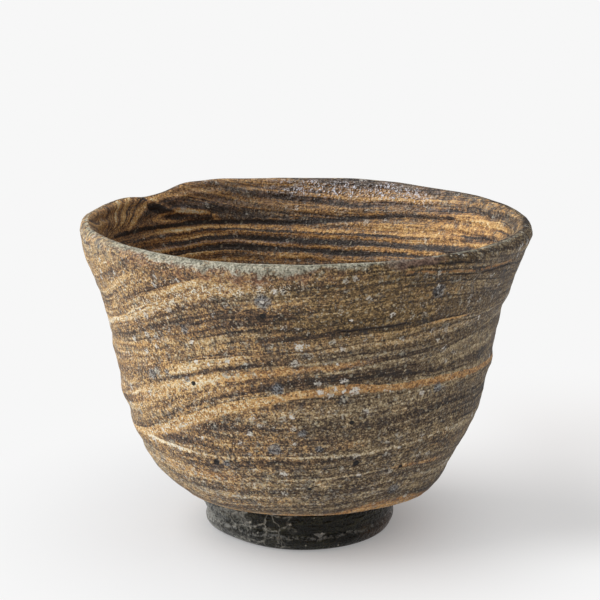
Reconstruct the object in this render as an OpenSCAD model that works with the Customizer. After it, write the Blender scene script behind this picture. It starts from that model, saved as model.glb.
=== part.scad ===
// Small hand-formed stoneware sake cup on a luted foot ring.
// Millimetres, +Z up. The origin is on the table, under the middle of the mouth; -Y is the front.

/* [Cup] */
// Height of the lip's crest above the table
cup_h = 54; // [48:0.1:58]
// Outside diameter across the lip
lip_d = 75.8; // [70:0.1:80]
// Diameter of the trimmed edge round the bowl's underside
underside_d = 37.2; // [35:0.1:40]
// How far the foot sits to the left of the mouth's middle, as the cup leans a little
lean = 0.6; // [0:0.1:1]

/* [Wall] */
// Thickness at the rounded lip
lip_t = 2.8; // [2.2:0.1:3.6]
// Thickness of the upright wall
wall_t = 3.4; // [2.8:0.1:4.4]
// Thickness at the heel, where the wall meets the floor
heel_t = 4.6; // [3.6:0.1:5.4]
// Thickness of the floor at its middle
floor_t = 3.2; // [2.6:0.1:4]

/* [Hand-formed rim] */
// Depth of the notch at the back left, where the last coil of clay ends
notch_depth = 0.8; // [0:0.1:1.6]
// Bearing of the notch, from +X towards the back
notch_bearing = 137; // [110:1:160]
// How far the wall below the notch is pressed inwards
press_depth = 0.7; // [0:0.1:1.4]
// Rise of the rim just behind the notch
shoulder_rise = 0.45; // [0:0.05:1]
// How far the lip dips at the right
dip_depth = 0.5; // [0:0.1:1.2]
// Uneven roundness of the mouth, as three low lobes
lobe_depth = 0.2; // [0:0.05:0.6]

/* [Foot ring] */
// Height of the foot ring
foot_h = 6.8; // [5.8:0.1:8]
// How far the bowl's underside stands out past the foot ring
ledge_w = 2.6; // [1.4:0.1:3.4]
// How far the heel rounds in, from the foot ring's upright wall to the tread
heel_in = 2.2; // [1:0.1:3]
// Width of the flat tread that touches the table
tread_w = 2; // [1.2:0.1:3]
// Height of the rounded heel of the foot ring
foot_heel_h = 2.4; // [1.6:0.1:3.2]
// Depth of the groove that runs round the foot ring
groove_depth = 0.3; // [0.1:0.05:0.5]
// Height of that groove's middle above the table
groove_h = 3.1; // [2.9:0.1:3.6]
// Rounding of the foot ring's inner edge
recess_round = 0.6; // [0.3:0.1:1]

/* [Luting slip] */
// Thickness of the layer of slip that joins the foot ring to the bowl
slip_t = 0.4; // [0.2:0.05:0.8]
// How far the slip stands out past the foot ring, outside and inside
slip_squeeze = 0.3; // [0.1:0.05:0.5]

/* [Hidden] */

// Fineness of the hand-formed bowl: points round a ring, steps between two stations, steps over the lip
n_around = 64;
n_step = 3;
n_lip = 6;
n_floor = 5;
// Fineness of a rounded corner in an outline, and of what is turned
n_corner = 6;
$fn = 96;

full_turn = 360;
quarter_turn = 90;

// How late the floor turns up towards the wall
floor_power = 4;

// Places of the bowl
underside_z = foot_h + slip_t;
underside_r = underside_d / 2;
lip_round_r = lip_t / 2;
lip_mid_r = lip_d / 2 - lip_round_r;
lip_mid_z = cup_h - lip_round_r;
floor_z = underside_z + floor_t;

// The outer wall's stations, from the trimmed edge to the lip: shares of the widening and of the rise
wall_shares = [
    [0, 0], [0.195, 0.045], [0.385, 0.15], [0.555, 0.305], [0.665, 0.48],
    [0.735, 0.655], [0.84, 0.81], [1, 1]
];
stations = [for (s = wall_shares)
    [underside_r + (lip_d / 2 - underside_r) * s[0], underside_z + (lip_mid_z - underside_z) * s[1]]];
last_station = len(stations) - 1;

// Shares of the rise at which the wall has thinned from heel_t to wall_t, and starts to thin to lip_t
heel_end_share = 0.3;
lip_start_share = 0.7;

// Half widths of the notch, of the shoulder behind it and of the dip, in degrees
notch_half_width = 8;
shoulder_half_width = 15;
dip_half_width = 36;
// The shoulder's place, counted from the notch, and the dip's bearing
shoulder_offset = -23;
dip_bearing = 0;
// Number of lobes of the mouth and the bearing of one
lobe_count = 3;
lobe_bearing = 20;

// A curve that passes through the stations, at t from 0 to 1 between station i and the next
function station(i) =
    i < 0 ? 2 * stations[0] - stations[1] :
    i > last_station ? 2 * stations[last_station] - stations[last_station - 1] : stations[i];
function on_curve(i, t) =
    let (a = station(i - 1), b = station(i), c = station(i + 1), d = station(i + 2))
    (2 * b + (c - a) * t + (2 * a - 5 * b + 4 * c - d) * pow(t, 2)
        + (3 * b - a - 3 * c + d) * pow(t, 3)) / 2;
outer_line = [for (i = [0 : last_station - 1], k = [0 : n_step - 1]) on_curve(i, k / n_step)];

// Smooth step from 0 to 1, and the wall's thickness at a share of the rise
function ease(x) = let (c = max(0, min(1, x))) pow(c, 2) * (3 - 2 * c);
function rise_share(z) = (z - underside_z) / (lip_mid_z - underside_z);
function thickness(z) =
    let (s = rise_share(z))
    heel_t + (wall_t - heel_t) * ease(s / heel_end_share)
        + (lip_t - wall_t) * ease((s - lip_start_share) / (1 - lip_start_share));

// The inner line follows the outer one at the wall's thickness
function direction(line, i) =
    let (a = line[max(0, i - 1)], b = line[min(len(line) - 1, i + 1)]) (b - a) / norm(b - a);
inner_line = [for (i = [0 : len(outer_line) - 1])
    let (p = outer_line[i], d = direction(outer_line, i)) p + thickness(p[1]) * [-d[1], d[0]]];

// The lip is a half round from the outer line's end to the inner line's end
lip_line = [for (k = [0 : n_lip])
    let (a = 2 * quarter_turn * k / n_lip)
    [lip_mid_r + lip_round_r * cos(a), lip_mid_z + lip_round_r * sin(a)]];

// The floor rises from the middle to the start of the inner line, and most of it near that start
floor_line = [for (k = [n_floor : -1 : 1])
    let (s = k / (n_floor + 1), edge = inner_line[0])
    [edge[0] * s, floor_z + (edge[1] - floor_z) * pow(s, floor_power)]];

bowl_line = concat(outer_line, lip_line,
    [for (i = [len(inner_line) - 1 : -1 : 0]) inner_line[i]], floor_line);
n_rings = len(bowl_line);

// How much of the hand-formed unevenness a height takes: none at the underside, all at the lip
function unevenness(z) = pow(max(0, min(1, rise_share(z))), 1.5);
// A smooth swelling of height 1 round a bearing
function swelling(bearing, middle, half_width) =
    let (d = ((bearing - middle) % full_turn + 3 * full_turn / 2) % full_turn - full_turn / 2)
    exp(-pow(d / half_width, 2));
function hand_formed(r, z, bearing) =
    let (
        w = unevenness(z),
        near_lip = pow(w, 4),
        notch = swelling(bearing, notch_bearing, notch_half_width),
        shoulder = swelling(bearing, notch_bearing + shoulder_offset, shoulder_half_width),
        dip = swelling(bearing, dip_bearing, dip_half_width),
        lobes = lobe_depth * cos(lobe_count * (bearing - lobe_bearing)),
        radius = r + w * lobes - pow(w, 2) * press_depth * notch,
        lift = near_lip * (shoulder_rise * shoulder - notch_depth * notch) - w * dip_depth * dip
    )
    [radius * cos(bearing), radius * sin(bearing), z + lift];

ring_points = [for (p = bowl_line, k = [0 : n_around - 1])
    hand_formed(p[0], p[1], full_turn * k / n_around)];

// The mouth is centred over the origin, and the cup leans so that its foot is a little to the left
mouth_mid = [for (axis = [0, 1])
    let (v = [for (p = ring_points) p[axis]]) (max(v) + min(v)) / 2];
function leaning(p) =
    let (s = max(0, min(1, rise_share(p[2]))))
    [p[0] - s * mouth_mid[0] - (1 - s) * lean, p[1] - s * mouth_mid[1], p[2]];
leaning_points = [for (p = ring_points) leaning(p)];

// Bowl: one closed skin, from the middle of the underside up the wall, over the lip and down to the floor
module bowl() {
    points = concat(leaning_points, [leaning([0, 0, underside_z]), leaning([0, 0, floor_z])]);
    underside_mid = n_rings * n_around;
    floor_mid = underside_mid + 1;
    last_ring = (n_rings - 1) * n_around;
    walls = [for (j = [0 : n_rings - 2], k = [0 : n_around - 1])
        let (
            a = j * n_around + k,
            b = j * n_around + (k + 1) % n_around,
            c = a + n_around,
            d = b + n_around
        )
        each [[a, c, d], [a, d, b]]];
    underside = [for (k = [0 : n_around - 1]) [underside_mid, k, (k + 1) % n_around]];
    floor_fan = [for (k = [0 : n_around - 1]) [floor_mid, last_ring + (k + 1) % n_around, last_ring + k]];
    color("sienna") polyhedron(points = points, faces = concat(walls, underside, floor_fan));
}

// Places of the foot ring
foot_r = underside_r - ledge_w;
tread_r = foot_r - heel_in;
recess_r = tread_r - tread_w - recess_round;
groove_half_h = 2 * groove_depth;

// Foot ring: a turned ring with a flat tread, a rounded heel and a shallow groove
module foot_ring() {
    heel = [for (k = [0 : n_corner])
        let (a = quarter_turn * k / n_corner)
        [tread_r + (foot_r - tread_r) * sin(a), foot_heel_h * (1 - cos(a))]];
    groove = [
        [foot_r, max(foot_heel_h, groove_h - groove_half_h)],
        [foot_r - groove_depth, groove_h],
        [foot_r, groove_h + groove_half_h]
    ];
    inner_edge = [for (k = [0 : n_corner])
        let (a = quarter_turn * k / n_corner)
        [recess_r + recess_round * (1 - cos(a)), recess_round * (1 - sin(a))]];
    color("darkslategray") translate([-lean, 0, 0]) rotate_extrude()
        polygon(concat(heel, groove, [[foot_r, foot_h], [recess_r, foot_h]], inner_edge));
}

// Luting slip: the thin layer of slip between the foot ring and the bowl, squeezed out a little
module luting_slip() {
    bead_r = slip_t / 2;
    outer_r = foot_r + slip_squeeze - bead_r;
    inner_r = recess_r - slip_squeeze + bead_r;
    bead_z = foot_h + bead_r;
    outer_bead = [for (k = [0 : 2 * n_corner])
        let (a = quarter_turn * (k / n_corner - 1))
        [outer_r + bead_r * cos(a), bead_z + bead_r * sin(a)]];
    inner_bead = [for (k = [0 : 2 * n_corner])
        let (a = quarter_turn * (k / n_corner + 1))
        [inner_r + bead_r * cos(a), bead_z + bead_r * sin(a)]];
    color("saddlebrown") translate([-lean, 0, 0]) rotate_extrude() polygon(concat(outer_bead, inner_bead));
}

bowl();
foot_ring();
luting_slip();
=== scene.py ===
"""A hand-formed sake cup of marbled stoneware on a dark glazed foot ring, in a plain studio.

Metres, +Z up. The origin is on the table under the middle of the mouth and -Y is the front.
Sizes of the pieces are written in millimetres. A bearing is an angle in degrees from +X towards the back.
"""

import logging
import math
from dataclasses import dataclass
from enum import Enum

import bpy
import numpy as np
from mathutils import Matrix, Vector, kdtree, noise


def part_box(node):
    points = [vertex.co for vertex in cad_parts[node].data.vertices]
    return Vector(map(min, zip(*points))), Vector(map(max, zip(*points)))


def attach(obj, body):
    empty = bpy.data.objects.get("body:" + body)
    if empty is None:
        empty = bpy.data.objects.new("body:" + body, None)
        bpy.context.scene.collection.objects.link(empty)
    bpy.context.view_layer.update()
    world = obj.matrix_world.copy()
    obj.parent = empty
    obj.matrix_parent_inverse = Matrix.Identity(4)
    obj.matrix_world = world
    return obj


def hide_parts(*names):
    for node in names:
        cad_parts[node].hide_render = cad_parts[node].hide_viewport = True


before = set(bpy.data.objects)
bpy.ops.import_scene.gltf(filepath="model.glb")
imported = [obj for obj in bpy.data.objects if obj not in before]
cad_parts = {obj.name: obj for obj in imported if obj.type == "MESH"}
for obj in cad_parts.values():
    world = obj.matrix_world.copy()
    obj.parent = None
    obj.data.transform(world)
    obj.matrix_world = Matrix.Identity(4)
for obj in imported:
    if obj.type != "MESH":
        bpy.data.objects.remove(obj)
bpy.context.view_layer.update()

log = logging.getLogger("sake_cup")

MM = 0.001
FULL_TURN = 360.0
# A point nearer the axis than this, in millimetres, is the middle of its skin
AXIS_REACH = 1e-6

Colour = tuple[float, float, float, float]
Point = tuple[float, float]


def paint(red: int, green: int, blue: int) -> Colour:
    """Turns the three numbers of a paint card into a linear colour.

    Args:
        red: its red, 0 to 255.
        green: its green.
        blue: its blue.

    Returns:
        The colour as Blender takes it, opaque.
    """
    linear = []
    for part in (red, green, blue):
        share = part / 255
        linear.append(share / 12.92 if share <= 0.04045 else ((share + 0.055) / 1.055) ** 2.4)
    return (*linear, 1.0)


def ease(share: np.ndarray) -> np.ndarray:
    """Smooth step from 0 to 1."""
    held = np.clip(share, 0.0, 1.0)
    return held**2 * (3 - 2 * held)


def bulge(away: np.ndarray, half_width: float) -> np.ndarray:
    """1 at 0, fading smoothly over a half width to both sides."""
    return np.exp(-((away / half_width) ** 2))


def swelling(bearing: np.ndarray, middle: float, half_width: float) -> np.ndarray:
    """A smooth swelling of height 1 round a bearing, which fades over its half width."""
    return bulge((bearing - middle + FULL_TURN / 2) % FULL_TURN - FULL_TURN / 2, half_width)


@dataclass(frozen=True)
class Lumps:
    """Lumps of a size along each axis and a height, in millimetres, and the shift of their pattern."""

    size: tuple[float, float, float]
    height: float
    shift: float

    def relief(self, places: np.ndarray) -> np.ndarray:
        """How far they stand out at places in millimetres."""
        scaled = places / np.array(self.size) + self.shift
        return np.array([noise.noise(Vector(place)) for place in scaled]) * self.height


class Outline:
    """Lines of (radius, height) points in millimetres, which a piece is spun from."""

    @staticmethod
    def through(stations: list[Point], steps: int) -> list[Point]:
        """Draws a smooth curve through stations.

        Args:
            stations: points that the curve passes through.
            steps: points of the curve from one station to the next.

        Returns:
            The points of the curve, both ends included.
        """
        known = [np.array(place) for place in stations]
        known = [2 * known[0] - known[1], *known, 2 * known[-1] - known[-2]]
        curve = []
        for before, start, end, after in zip(known, known[1:], known[2:], known[3:]):
            for step in range(steps):
                t = step / steps
                square = 2 * before - 5 * start + 4 * end - after
                cube = 3 * start - before - 3 * end + after
                curve.append((2 * start + (end - before) * t + square * t**2 + cube * t**3) / 2)
        curve.append(known[-2])
        return [(float(place[0]), float(place[1])) for place in curve]

    @staticmethod
    def arc(middle: Point, radius: Point, start: float, end: float, steps: int) -> list[Point]:
        """Draws part of an ellipse.

        Args:
            middle: its centre.
            radius: its half width and half height.
            start: angle of its first point, in degrees.
            end: angle of its last point, in degrees.
            steps: number of steps from the first point to the last.

        Returns:
            The points, both ends included.
        """
        angles = [math.radians(start + (end - start) * step / steps) for step in range(steps + 1)]
        return [(middle[0] + radius[0] * math.cos(a), middle[1] + radius[1] * math.sin(a)) for a in angles]

    @staticmethod
    def spaced(line: list[Point], step: float) -> list[Point]:
        """Spreads points evenly along a line.

        Args:
            line: the line's corners.
            step: about the distance between two points.

        Returns:
            The points, both ends included.
        """
        corners = np.array(line)
        run = np.concatenate([[0.0], np.cumsum(np.linalg.norm(np.diff(corners, axis=0), axis=1))])
        places = np.linspace(0.0, run[-1], max(1, round(run[-1] / step)) + 1)
        radii = np.interp(places, run, corners[:, 0])
        heights = np.interp(places, run, corners[:, 1])
        return list(zip(radii.tolist(), heights.tolist()))


class Turned:
    """A skin spun from an outline, and what each of its points needs for shaping."""

    def __init__(self, name: str, outline: list[Point], steps: int) -> None:
        """Extrudes a point along the outline, spins the line and closes the skin.

        Args:
            name: name of the piece.
            outline: points of (radius, height) in millimetres.
            steps: points round a ring.
        """
        bpy.ops.object.select_all(action="DESELECT")
        start = (outline[0][0] * MM, 0.0, outline[0][1] * MM)
        bpy.ops.mesh.primitive_plane_add(size=MM, location=start, enter_editmode=True)
        self.piece = bpy.context.object
        self.piece.name = name
        self.piece.data.name = name
        bpy.ops.mesh.merge(type="CENTER")
        bpy.ops.mesh.select_mode(type="VERT")
        for before, after in zip(outline, outline[1:]):
            move = ((after[0] - before[0]) * MM, 0.0, (after[1] - before[1]) * MM)
            bpy.ops.mesh.extrude_region_move(TRANSFORM_OT_translate={"value": move})
        bpy.ops.mesh.select_all(action="SELECT")
        bpy.ops.mesh.spin(steps=steps, angle=math.tau, center=(0, 0, 0), axis=(0, 0, 1))
        bpy.ops.mesh.select_all(action="SELECT")
        bpy.ops.mesh.remove_doubles(threshold=0.001 * MM)
        bpy.ops.mesh.normals_make_consistent(inside=False)
        bpy.ops.object.mode_set(mode="OBJECT")
        bpy.ops.object.transform_apply(location=True, rotation=True, scale=True)
        self._learn(outline)

    def _learn(self, outline: list[Point]) -> None:
        """Finds each point's bearing, and its place and slope along the outline.

        Args:
            outline: the points that were spun, as radius and height in millimetres.
        """
        mesh = self.piece.data
        flat = np.empty(len(mesh.vertices) * 3)
        mesh.vertices.foreach_get("co", flat)
        self.points = flat.reshape(-1, 3) / MM
        self.bearing = np.degrees(np.arctan2(self.points[:, 1], self.points[:, 0])) % FULL_TURN
        self.radius = np.hypot(self.points[:, 0], self.points[:, 1])
        self.height = self.points[:, 2].copy()
        line = np.array(outline)
        run = np.concatenate([[0.0], np.cumsum(np.linalg.norm(np.diff(line, axis=0), axis=1))])
        slope = np.gradient(line, axis=0)
        slope /= np.linalg.norm(slope, axis=1)[:, None]
        tree = kdtree.KDTree(len(line))
        for index, (radius, height) in enumerate(outline):
            tree.insert((radius, 0.0, height), index)
        tree.balance()
        nearest = [tree.find((r, 0.0, z))[1] for r, z in zip(self.radius, self.height)]
        self.station = np.array(nearest)
        self.run = run[self.station]
        self.out_radius = slope[self.station, 1]
        self.out_height = -slope[self.station, 0]

    def raise_skin(self, relief: np.ndarray) -> None:
        """Moves each point out of the clay by its relief in millimetres."""
        self.radius = self.radius + relief * self.out_radius * (self.radius > AXIS_REACH)
        self.height = self.height + relief * self.out_height

    def place(self, points: np.ndarray) -> None:
        """Puts the mesh's points in their places and smooths its faces.

        Args:
            points: the places, one row each, in millimetres.
        """
        self.points = points
        mesh = self.piece.data
        mesh.vertices.foreach_set("co", (points * MM).ravel())
        mesh.update()
        bpy.ops.object.select_all(action="DESELECT")
        self.piece.select_set(True)
        bpy.context.view_layer.objects.active = self.piece
        bpy.ops.object.shade_smooth()

    def keep(self, name: str, values: np.ndarray) -> None:
        """Stores one number a point under a name, for the finish to read."""
        layer = self.piece.data.attributes.new(name, "FLOAT", "POINT")
        layer.data.foreach_set("value", values.astype(np.float32))


@dataclass(frozen=True)
class Trace:
    """A line drawn on the wall, as (bearing, height) points from lower to higher bearings."""

    places: tuple[Point, ...]

    def height_at(self, bearing: np.ndarray, blur: float = 0.0) -> np.ndarray:
        """Height of a line that goes all the way round.

        Args:
            bearing: bearings at which it is asked for.
            blur: half width in degrees over which corners are rounded.

        Returns:
            The heights in millimetres.
        """
        knots = np.array(self.places)
        grid = np.arange(0.0, FULL_TURN, 1.0)
        heights = np.interp(grid, knots[:, 0], knots[:, 1], period=FULL_TURN)
        if blur > 0:
            offsets = np.minimum(grid, FULL_TURN - grid)
            weights = bulge(offsets, blur)
            spread = np.fft.rfft(heights) * np.fft.rfft(weights / weights.sum())
            heights = np.fft.irfft(spread, len(grid))
        return np.interp(bearing, grid, heights, period=FULL_TURN)

    def above(self, bearing: np.ndarray, height: np.ndarray) -> np.ndarray:
        """Height above a line that ends, growing quickly past its ends.

        Args:
            bearing: bearings of the points.
            height: heights of the points in millimetres.

        Returns:
            The heights above the line in millimetres.
        """
        knots = np.array(self.places)
        first, last = knots[0, 0], knots[-1, 0]
        turned = (bearing - (first + last) / 2 + FULL_TURN / 2) % FULL_TURN
        turned = turned - FULL_TURN / 2 + (first + last) / 2
        past = np.maximum(0.0, np.maximum(first - turned, turned - last))
        away = height - np.interp(turned, knots[:, 0], knots[:, 1])
        return away + np.where(away < 0, -2.0, 2.0) * past


class Value:
    """A number on a socket. Arithmetic on it adds Math nodes to its graph."""

    def __init__(self, graph: "Graph", socket: bpy.types.NodeSocket) -> None:
        """Wraps an output socket of the graph."""
        self.graph = graph
        self.socket = socket

    def __add__(self, other: "Value | float") -> "Value":
        """Sum."""
        return self.graph.math("ADD", self, other)

    def __radd__(self, other: float) -> "Value":
        """Sum with a number on the left."""
        return self.graph.math("ADD", other, self)

    def __sub__(self, other: "Value | float") -> "Value":
        """Difference."""
        return self.graph.math("SUBTRACT", self, other)

    def __rsub__(self, other: float) -> "Value":
        """Difference from a number."""
        return self.graph.math("SUBTRACT", other, self)

    def __mul__(self, other: "Value | float") -> "Value":
        """Product."""
        return self.graph.math("MULTIPLY", self, other)

    def __rmul__(self, other: float) -> "Value":
        """Product with a number on the left."""
        return self.graph.math("MULTIPLY", other, self)

    def __truediv__(self, other: "Value | float") -> "Value":
        """Quotient."""
        return self.graph.math("DIVIDE", self, other)

    def __abs__(self) -> "Value":
        """Size without the sign."""
        return self.graph.math("ABSOLUTE", self)

    def least(self, other: "Value | float") -> "Value":
        """The smaller of two."""
        return self.graph.math("MINIMUM", self, other)

    def most(self, other: "Value | float") -> "Value":
        """The larger of two."""
        return self.graph.math("MAXIMUM", self, other)

    def rise(self, low: float, high: float) -> "Value":
        """Smooth step from 0 at low to 1 at high.

        Args:
            low: where it leaves 0.
            high: where it reaches 1.

        Returns:
            The step, which is smooth at both ends.
        """
        settings = {"interpolation_type": "SMOOTHSTEP", "clamp": False}
        sockets = {"Value": self, "From Min": low, "From Max": high}
        node = self.graph.add("ShaderNodeMapRange", settings, sockets)
        return Value(self.graph, node.outputs[0])

    def fall(self, low: float, high: float) -> "Value":
        """Smooth step from 1 at low to 0 at high."""
        return 1 - self.rise(low, high)


Number = Value | float
Socket = bpy.types.NodeSocket


class Graph:
    """The node tree of a finish or of the room."""

    def __init__(self, owner: bpy.types.Material | bpy.types.World) -> None:
        """Starts without nodes.

        Args:
            owner: the material or world that the nodes are for.
        """
        self.owner = owner
        owner.use_nodes = True
        self.tree = owner.node_tree
        self.tree.nodes.clear()

    def add(self, kind: str, settings: dict | None = None, sockets: dict | None = None) -> bpy.types.Node:
        """Adds a node.

        Args:
            kind: the node's type.
            settings: its own settings, set before its sockets. "stops" sets a colour ramp.
            sockets: numbers, colours or links, by the socket's identifier, name or number.

        Returns:
            The node.
        """
        node = self.tree.nodes.new(kind)
        for name, setting in (settings or {}).items():
            if name == "stops":
                self._set_stops(node.color_ramp.elements, setting)
            else:
                setattr(node, name, setting)
        for key, value in (sockets or {}).items():
            socket = self._find(node, key)
            value = value.socket if isinstance(value, Value) else value
            if isinstance(value, bpy.types.NodeSocket):
                self.tree.links.new(value, socket)
            else:
                socket.default_value = value
        return node

    @staticmethod
    def _find(node: bpy.types.Node, key: str | int) -> Socket:
        """Finds an input of a node.

        Args:
            node: the node.
            key: the input's number, identifier or name.

        Returns:
            The input.
        """
        if isinstance(key, int):
            return node.inputs[key]
        named = [socket for socket in node.inputs if socket.identifier == key]
        return named[0] if named else node.inputs[key]

    @staticmethod
    def _set_stops(elements: bpy.types.ColorRampElements, stops: list[tuple[float, Colour]]) -> None:
        """Gives a colour ramp its stops.

        Args:
            elements: the ramp's own stops, of which it has two at first.
            stops: the position and colour of each, from left to right.
        """
        while len(elements) < len(stops):
            elements.new(1.0)
        for element, (position, colour) in zip(elements, stops):
            element.position = position
            element.color = colour

    def math(self, operation: str, *numbers: Number) -> Value:
        """One Math node on numbers."""
        node = self.add("ShaderNodeMath", {"operation": operation}, dict(enumerate(numbers)))
        return Value(self, node.outputs[0])

    def vector(
        self, operation: str, *sockets: Socket | tuple, output: int = 0, scale: Number = 1.0
    ) -> Socket:
        """One Vector Math node on vectors."""
        inputs = {**dict(enumerate(sockets)), "Scale": scale}
        return self.add("ShaderNodeVectorMath", {"operation": operation}, inputs).outputs[output]

    def join(self, x: Number, y: Number, z: Number) -> Socket:
        """A vector from three numbers."""
        return self.add("ShaderNodeCombineXYZ", {}, {0: x, 1: y, 2: z}).outputs[0]

    def split(self, vector: Socket) -> tuple[Value, Value, Value]:
        """The three numbers of a vector."""
        node = self.add("ShaderNodeSeparateXYZ", {}, {0: vector})
        return tuple(Value(self, output) for output in node.outputs)

    def channels(self, colour: Socket) -> tuple[Value, Value, Value]:
        """The three numbers of a colour."""
        node = self.add("ShaderNodeSeparateColor", {}, {0: colour})
        return tuple(Value(self, output) for output in node.outputs)

    def millimetres(self) -> Socket:
        """The place on the piece, in millimetres."""
        place = self.add("ShaderNodeTexCoord").outputs["Object"]
        return self.vector("SCALE", place, scale=1 / MM)

    def attribute(self, name: str) -> Value:
        """A number that the piece stores at its points."""
        node = self.add("ShaderNodeAttribute", {"attribute_name": name})
        return Value(self, node.outputs["Fac"])

    def noise(self, vector: Socket, scale: float, detail: float = 2.0, rough: float = 0.5) -> Value:
        """Smooth noise from about -1 to 1.

        Args:
            vector: where it is looked up.
            scale: lumps in one unit of the vector.
            detail: number of finer layers on top.
            rough: strength of each finer layer.

        Returns:
            The noise.
        """
        sockets = {"Vector": vector, "Scale": scale, "Detail": detail, "Roughness": rough}
        node = self.add("ShaderNodeTexNoise", {}, sockets)
        return (Value(self, node.outputs[0]) - 0.5) * 4

    def cells(self, vector: Socket, scale: float, feature: str = "F1") -> tuple[Value, Socket]:
        """Scattered cells.

        Args:
            vector: where they are looked up.
            scale: cells in one unit of the vector.
            feature: F1 for the distance to the cell's middle, DISTANCE_TO_EDGE for its edge.

        Returns:
            The distance, and a colour by cell.
        """
        node = self.add("ShaderNodeTexVoronoi", {"feature": feature}, {"Vector": vector, "Scale": scale})
        return Value(self, node.outputs[0]), node.outputs[1]

    def mix(self, factor: Number, first: Socket | Colour, second: Socket | Colour) -> Socket:
        """Mixes two colours.

        Args:
            factor: the share of the second, 0 to 1.
            first: the colour at 0.
            second: the colour at 1.

        Returns:
            The socket of the mixed colour.
        """
        settings = {"data_type": "RGBA", "clamp_factor": True}
        sockets = {"Factor_Float": factor, "A_Color": first, "B_Color": second}
        return self.add("ShaderNodeMix", settings, sockets).outputs[2]

    def ramp(self, factor: Number, stops: list[tuple[float, Colour]]) -> Socket:
        """A colour from a ramp."""
        return self.add("ShaderNodeValToRGB", {"stops": stops}, {0: factor}).outputs[0]

    def bump(self, height: Value, strength: float = 1.0) -> Socket:
        """A normal from a height in millimetres."""
        sockets = {"Height": height * MM, "Strength": strength, "Distance": 1.0}
        return self.add("ShaderNodeBump", {}, sockets).outputs[0]

    def finish(self, constants: dict, sockets: dict) -> bpy.types.Material:
        """Ends in a Principled shader.

        Args:
            constants: what is the same all over the surface.
            sockets: what changes over the surface.

        Returns:
            The material.
        """
        shader = self.add("ShaderNodeBsdfPrincipled", {}, {**constants, **sockets})
        self.add("ShaderNodeOutputMaterial", {}, {"Surface": shader.outputs[0]})
        return self.owner


class Tint(Enum):
    """Paints of the clays, the ash and the glaze, as their colour in plain light, with painted glints, sheen
    and gleam, and paper tints that carry painted shade and painted bounce light.
    """

    SOOT = paint(52, 38, 30)
    PIT = paint(24, 18, 15)
    DARK_GRAIN = paint(44, 34, 30)
    CREAM = paint(240, 222, 184)
    WHITE = paint(246, 240, 228)
    FROST = paint(250, 244, 224)
    GLITTER_AND_GLINT = paint(252, 244, 222)
    ORANGE = paint(208, 154, 98)
    BLUE_DARK = paint(56, 56, 58)
    BLUE_PALE = paint(160, 168, 174)
    ASH = paint(168, 166, 148)
    BEAD = paint(44, 41, 36)
    RUST_DARK = paint(98, 66, 50)
    RUST_PALE = paint(188, 138, 98)
    PATCH_GREY = paint(110, 112, 108)
    PATCH_CREAM = paint(216, 196, 150)
    PLUM_DARK = paint(84, 62, 54)
    PLUM_PALE = paint(150, 120, 104)
    PAINTED_SHEEN = paint(140, 128, 128)
    PAINTED_GLINT = paint(238, 240, 250)
    PAINTED_GLEAM = paint(176, 160, 164)
    GLAZE_DARK = paint(24, 23, 17)
    GLAZE_OLIVE = paint(64, 62, 42)
    GLAZE_BROWN = paint(104, 78, 58)
    GLAZE_BLOOM_AND_SHEEN = paint(160, 160, 152)
    GLAZE_LINE = paint(158, 158, 154)
    GLAZE_CHIP = paint(168, 166, 160)
    CRACKLE = paint(196, 192, 180)
    SLIP_DARK = paint(74, 54, 42)
    SLIP_PALE = paint(150, 108, 70)
    SLIP_GRAIN = paint(180, 150, 106)
    PAPER_WARM_PAINTED_BOUNCE = paint(236, 229, 226)
    PAPER_WARM_PALE_PAINTED_BOUNCE = paint(242, 236, 233)
    PAPER_COOL_PAINTED_SHADE = paint(219, 220, 222)
    PAPER_COOL_PALE_PAINTED_SHADE = paint(225, 226, 228)
    BACKDROP = paint(247, 247, 247)
    ROOM_LIGHT = paint(250, 250, 252)


@dataclass(frozen=True)
class Vein:
    """A band of one clay that follows the layers over part of the wall."""

    layer: float
    half_width: float
    bearing: float
    half_angle: float
    lighter: float
    orange: float = 0.0


@dataclass(frozen=True)
class Spot:
    """A grain, blister or pit that stands out on the outer wall."""

    bearing: float
    height: float
    radius: float


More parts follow.
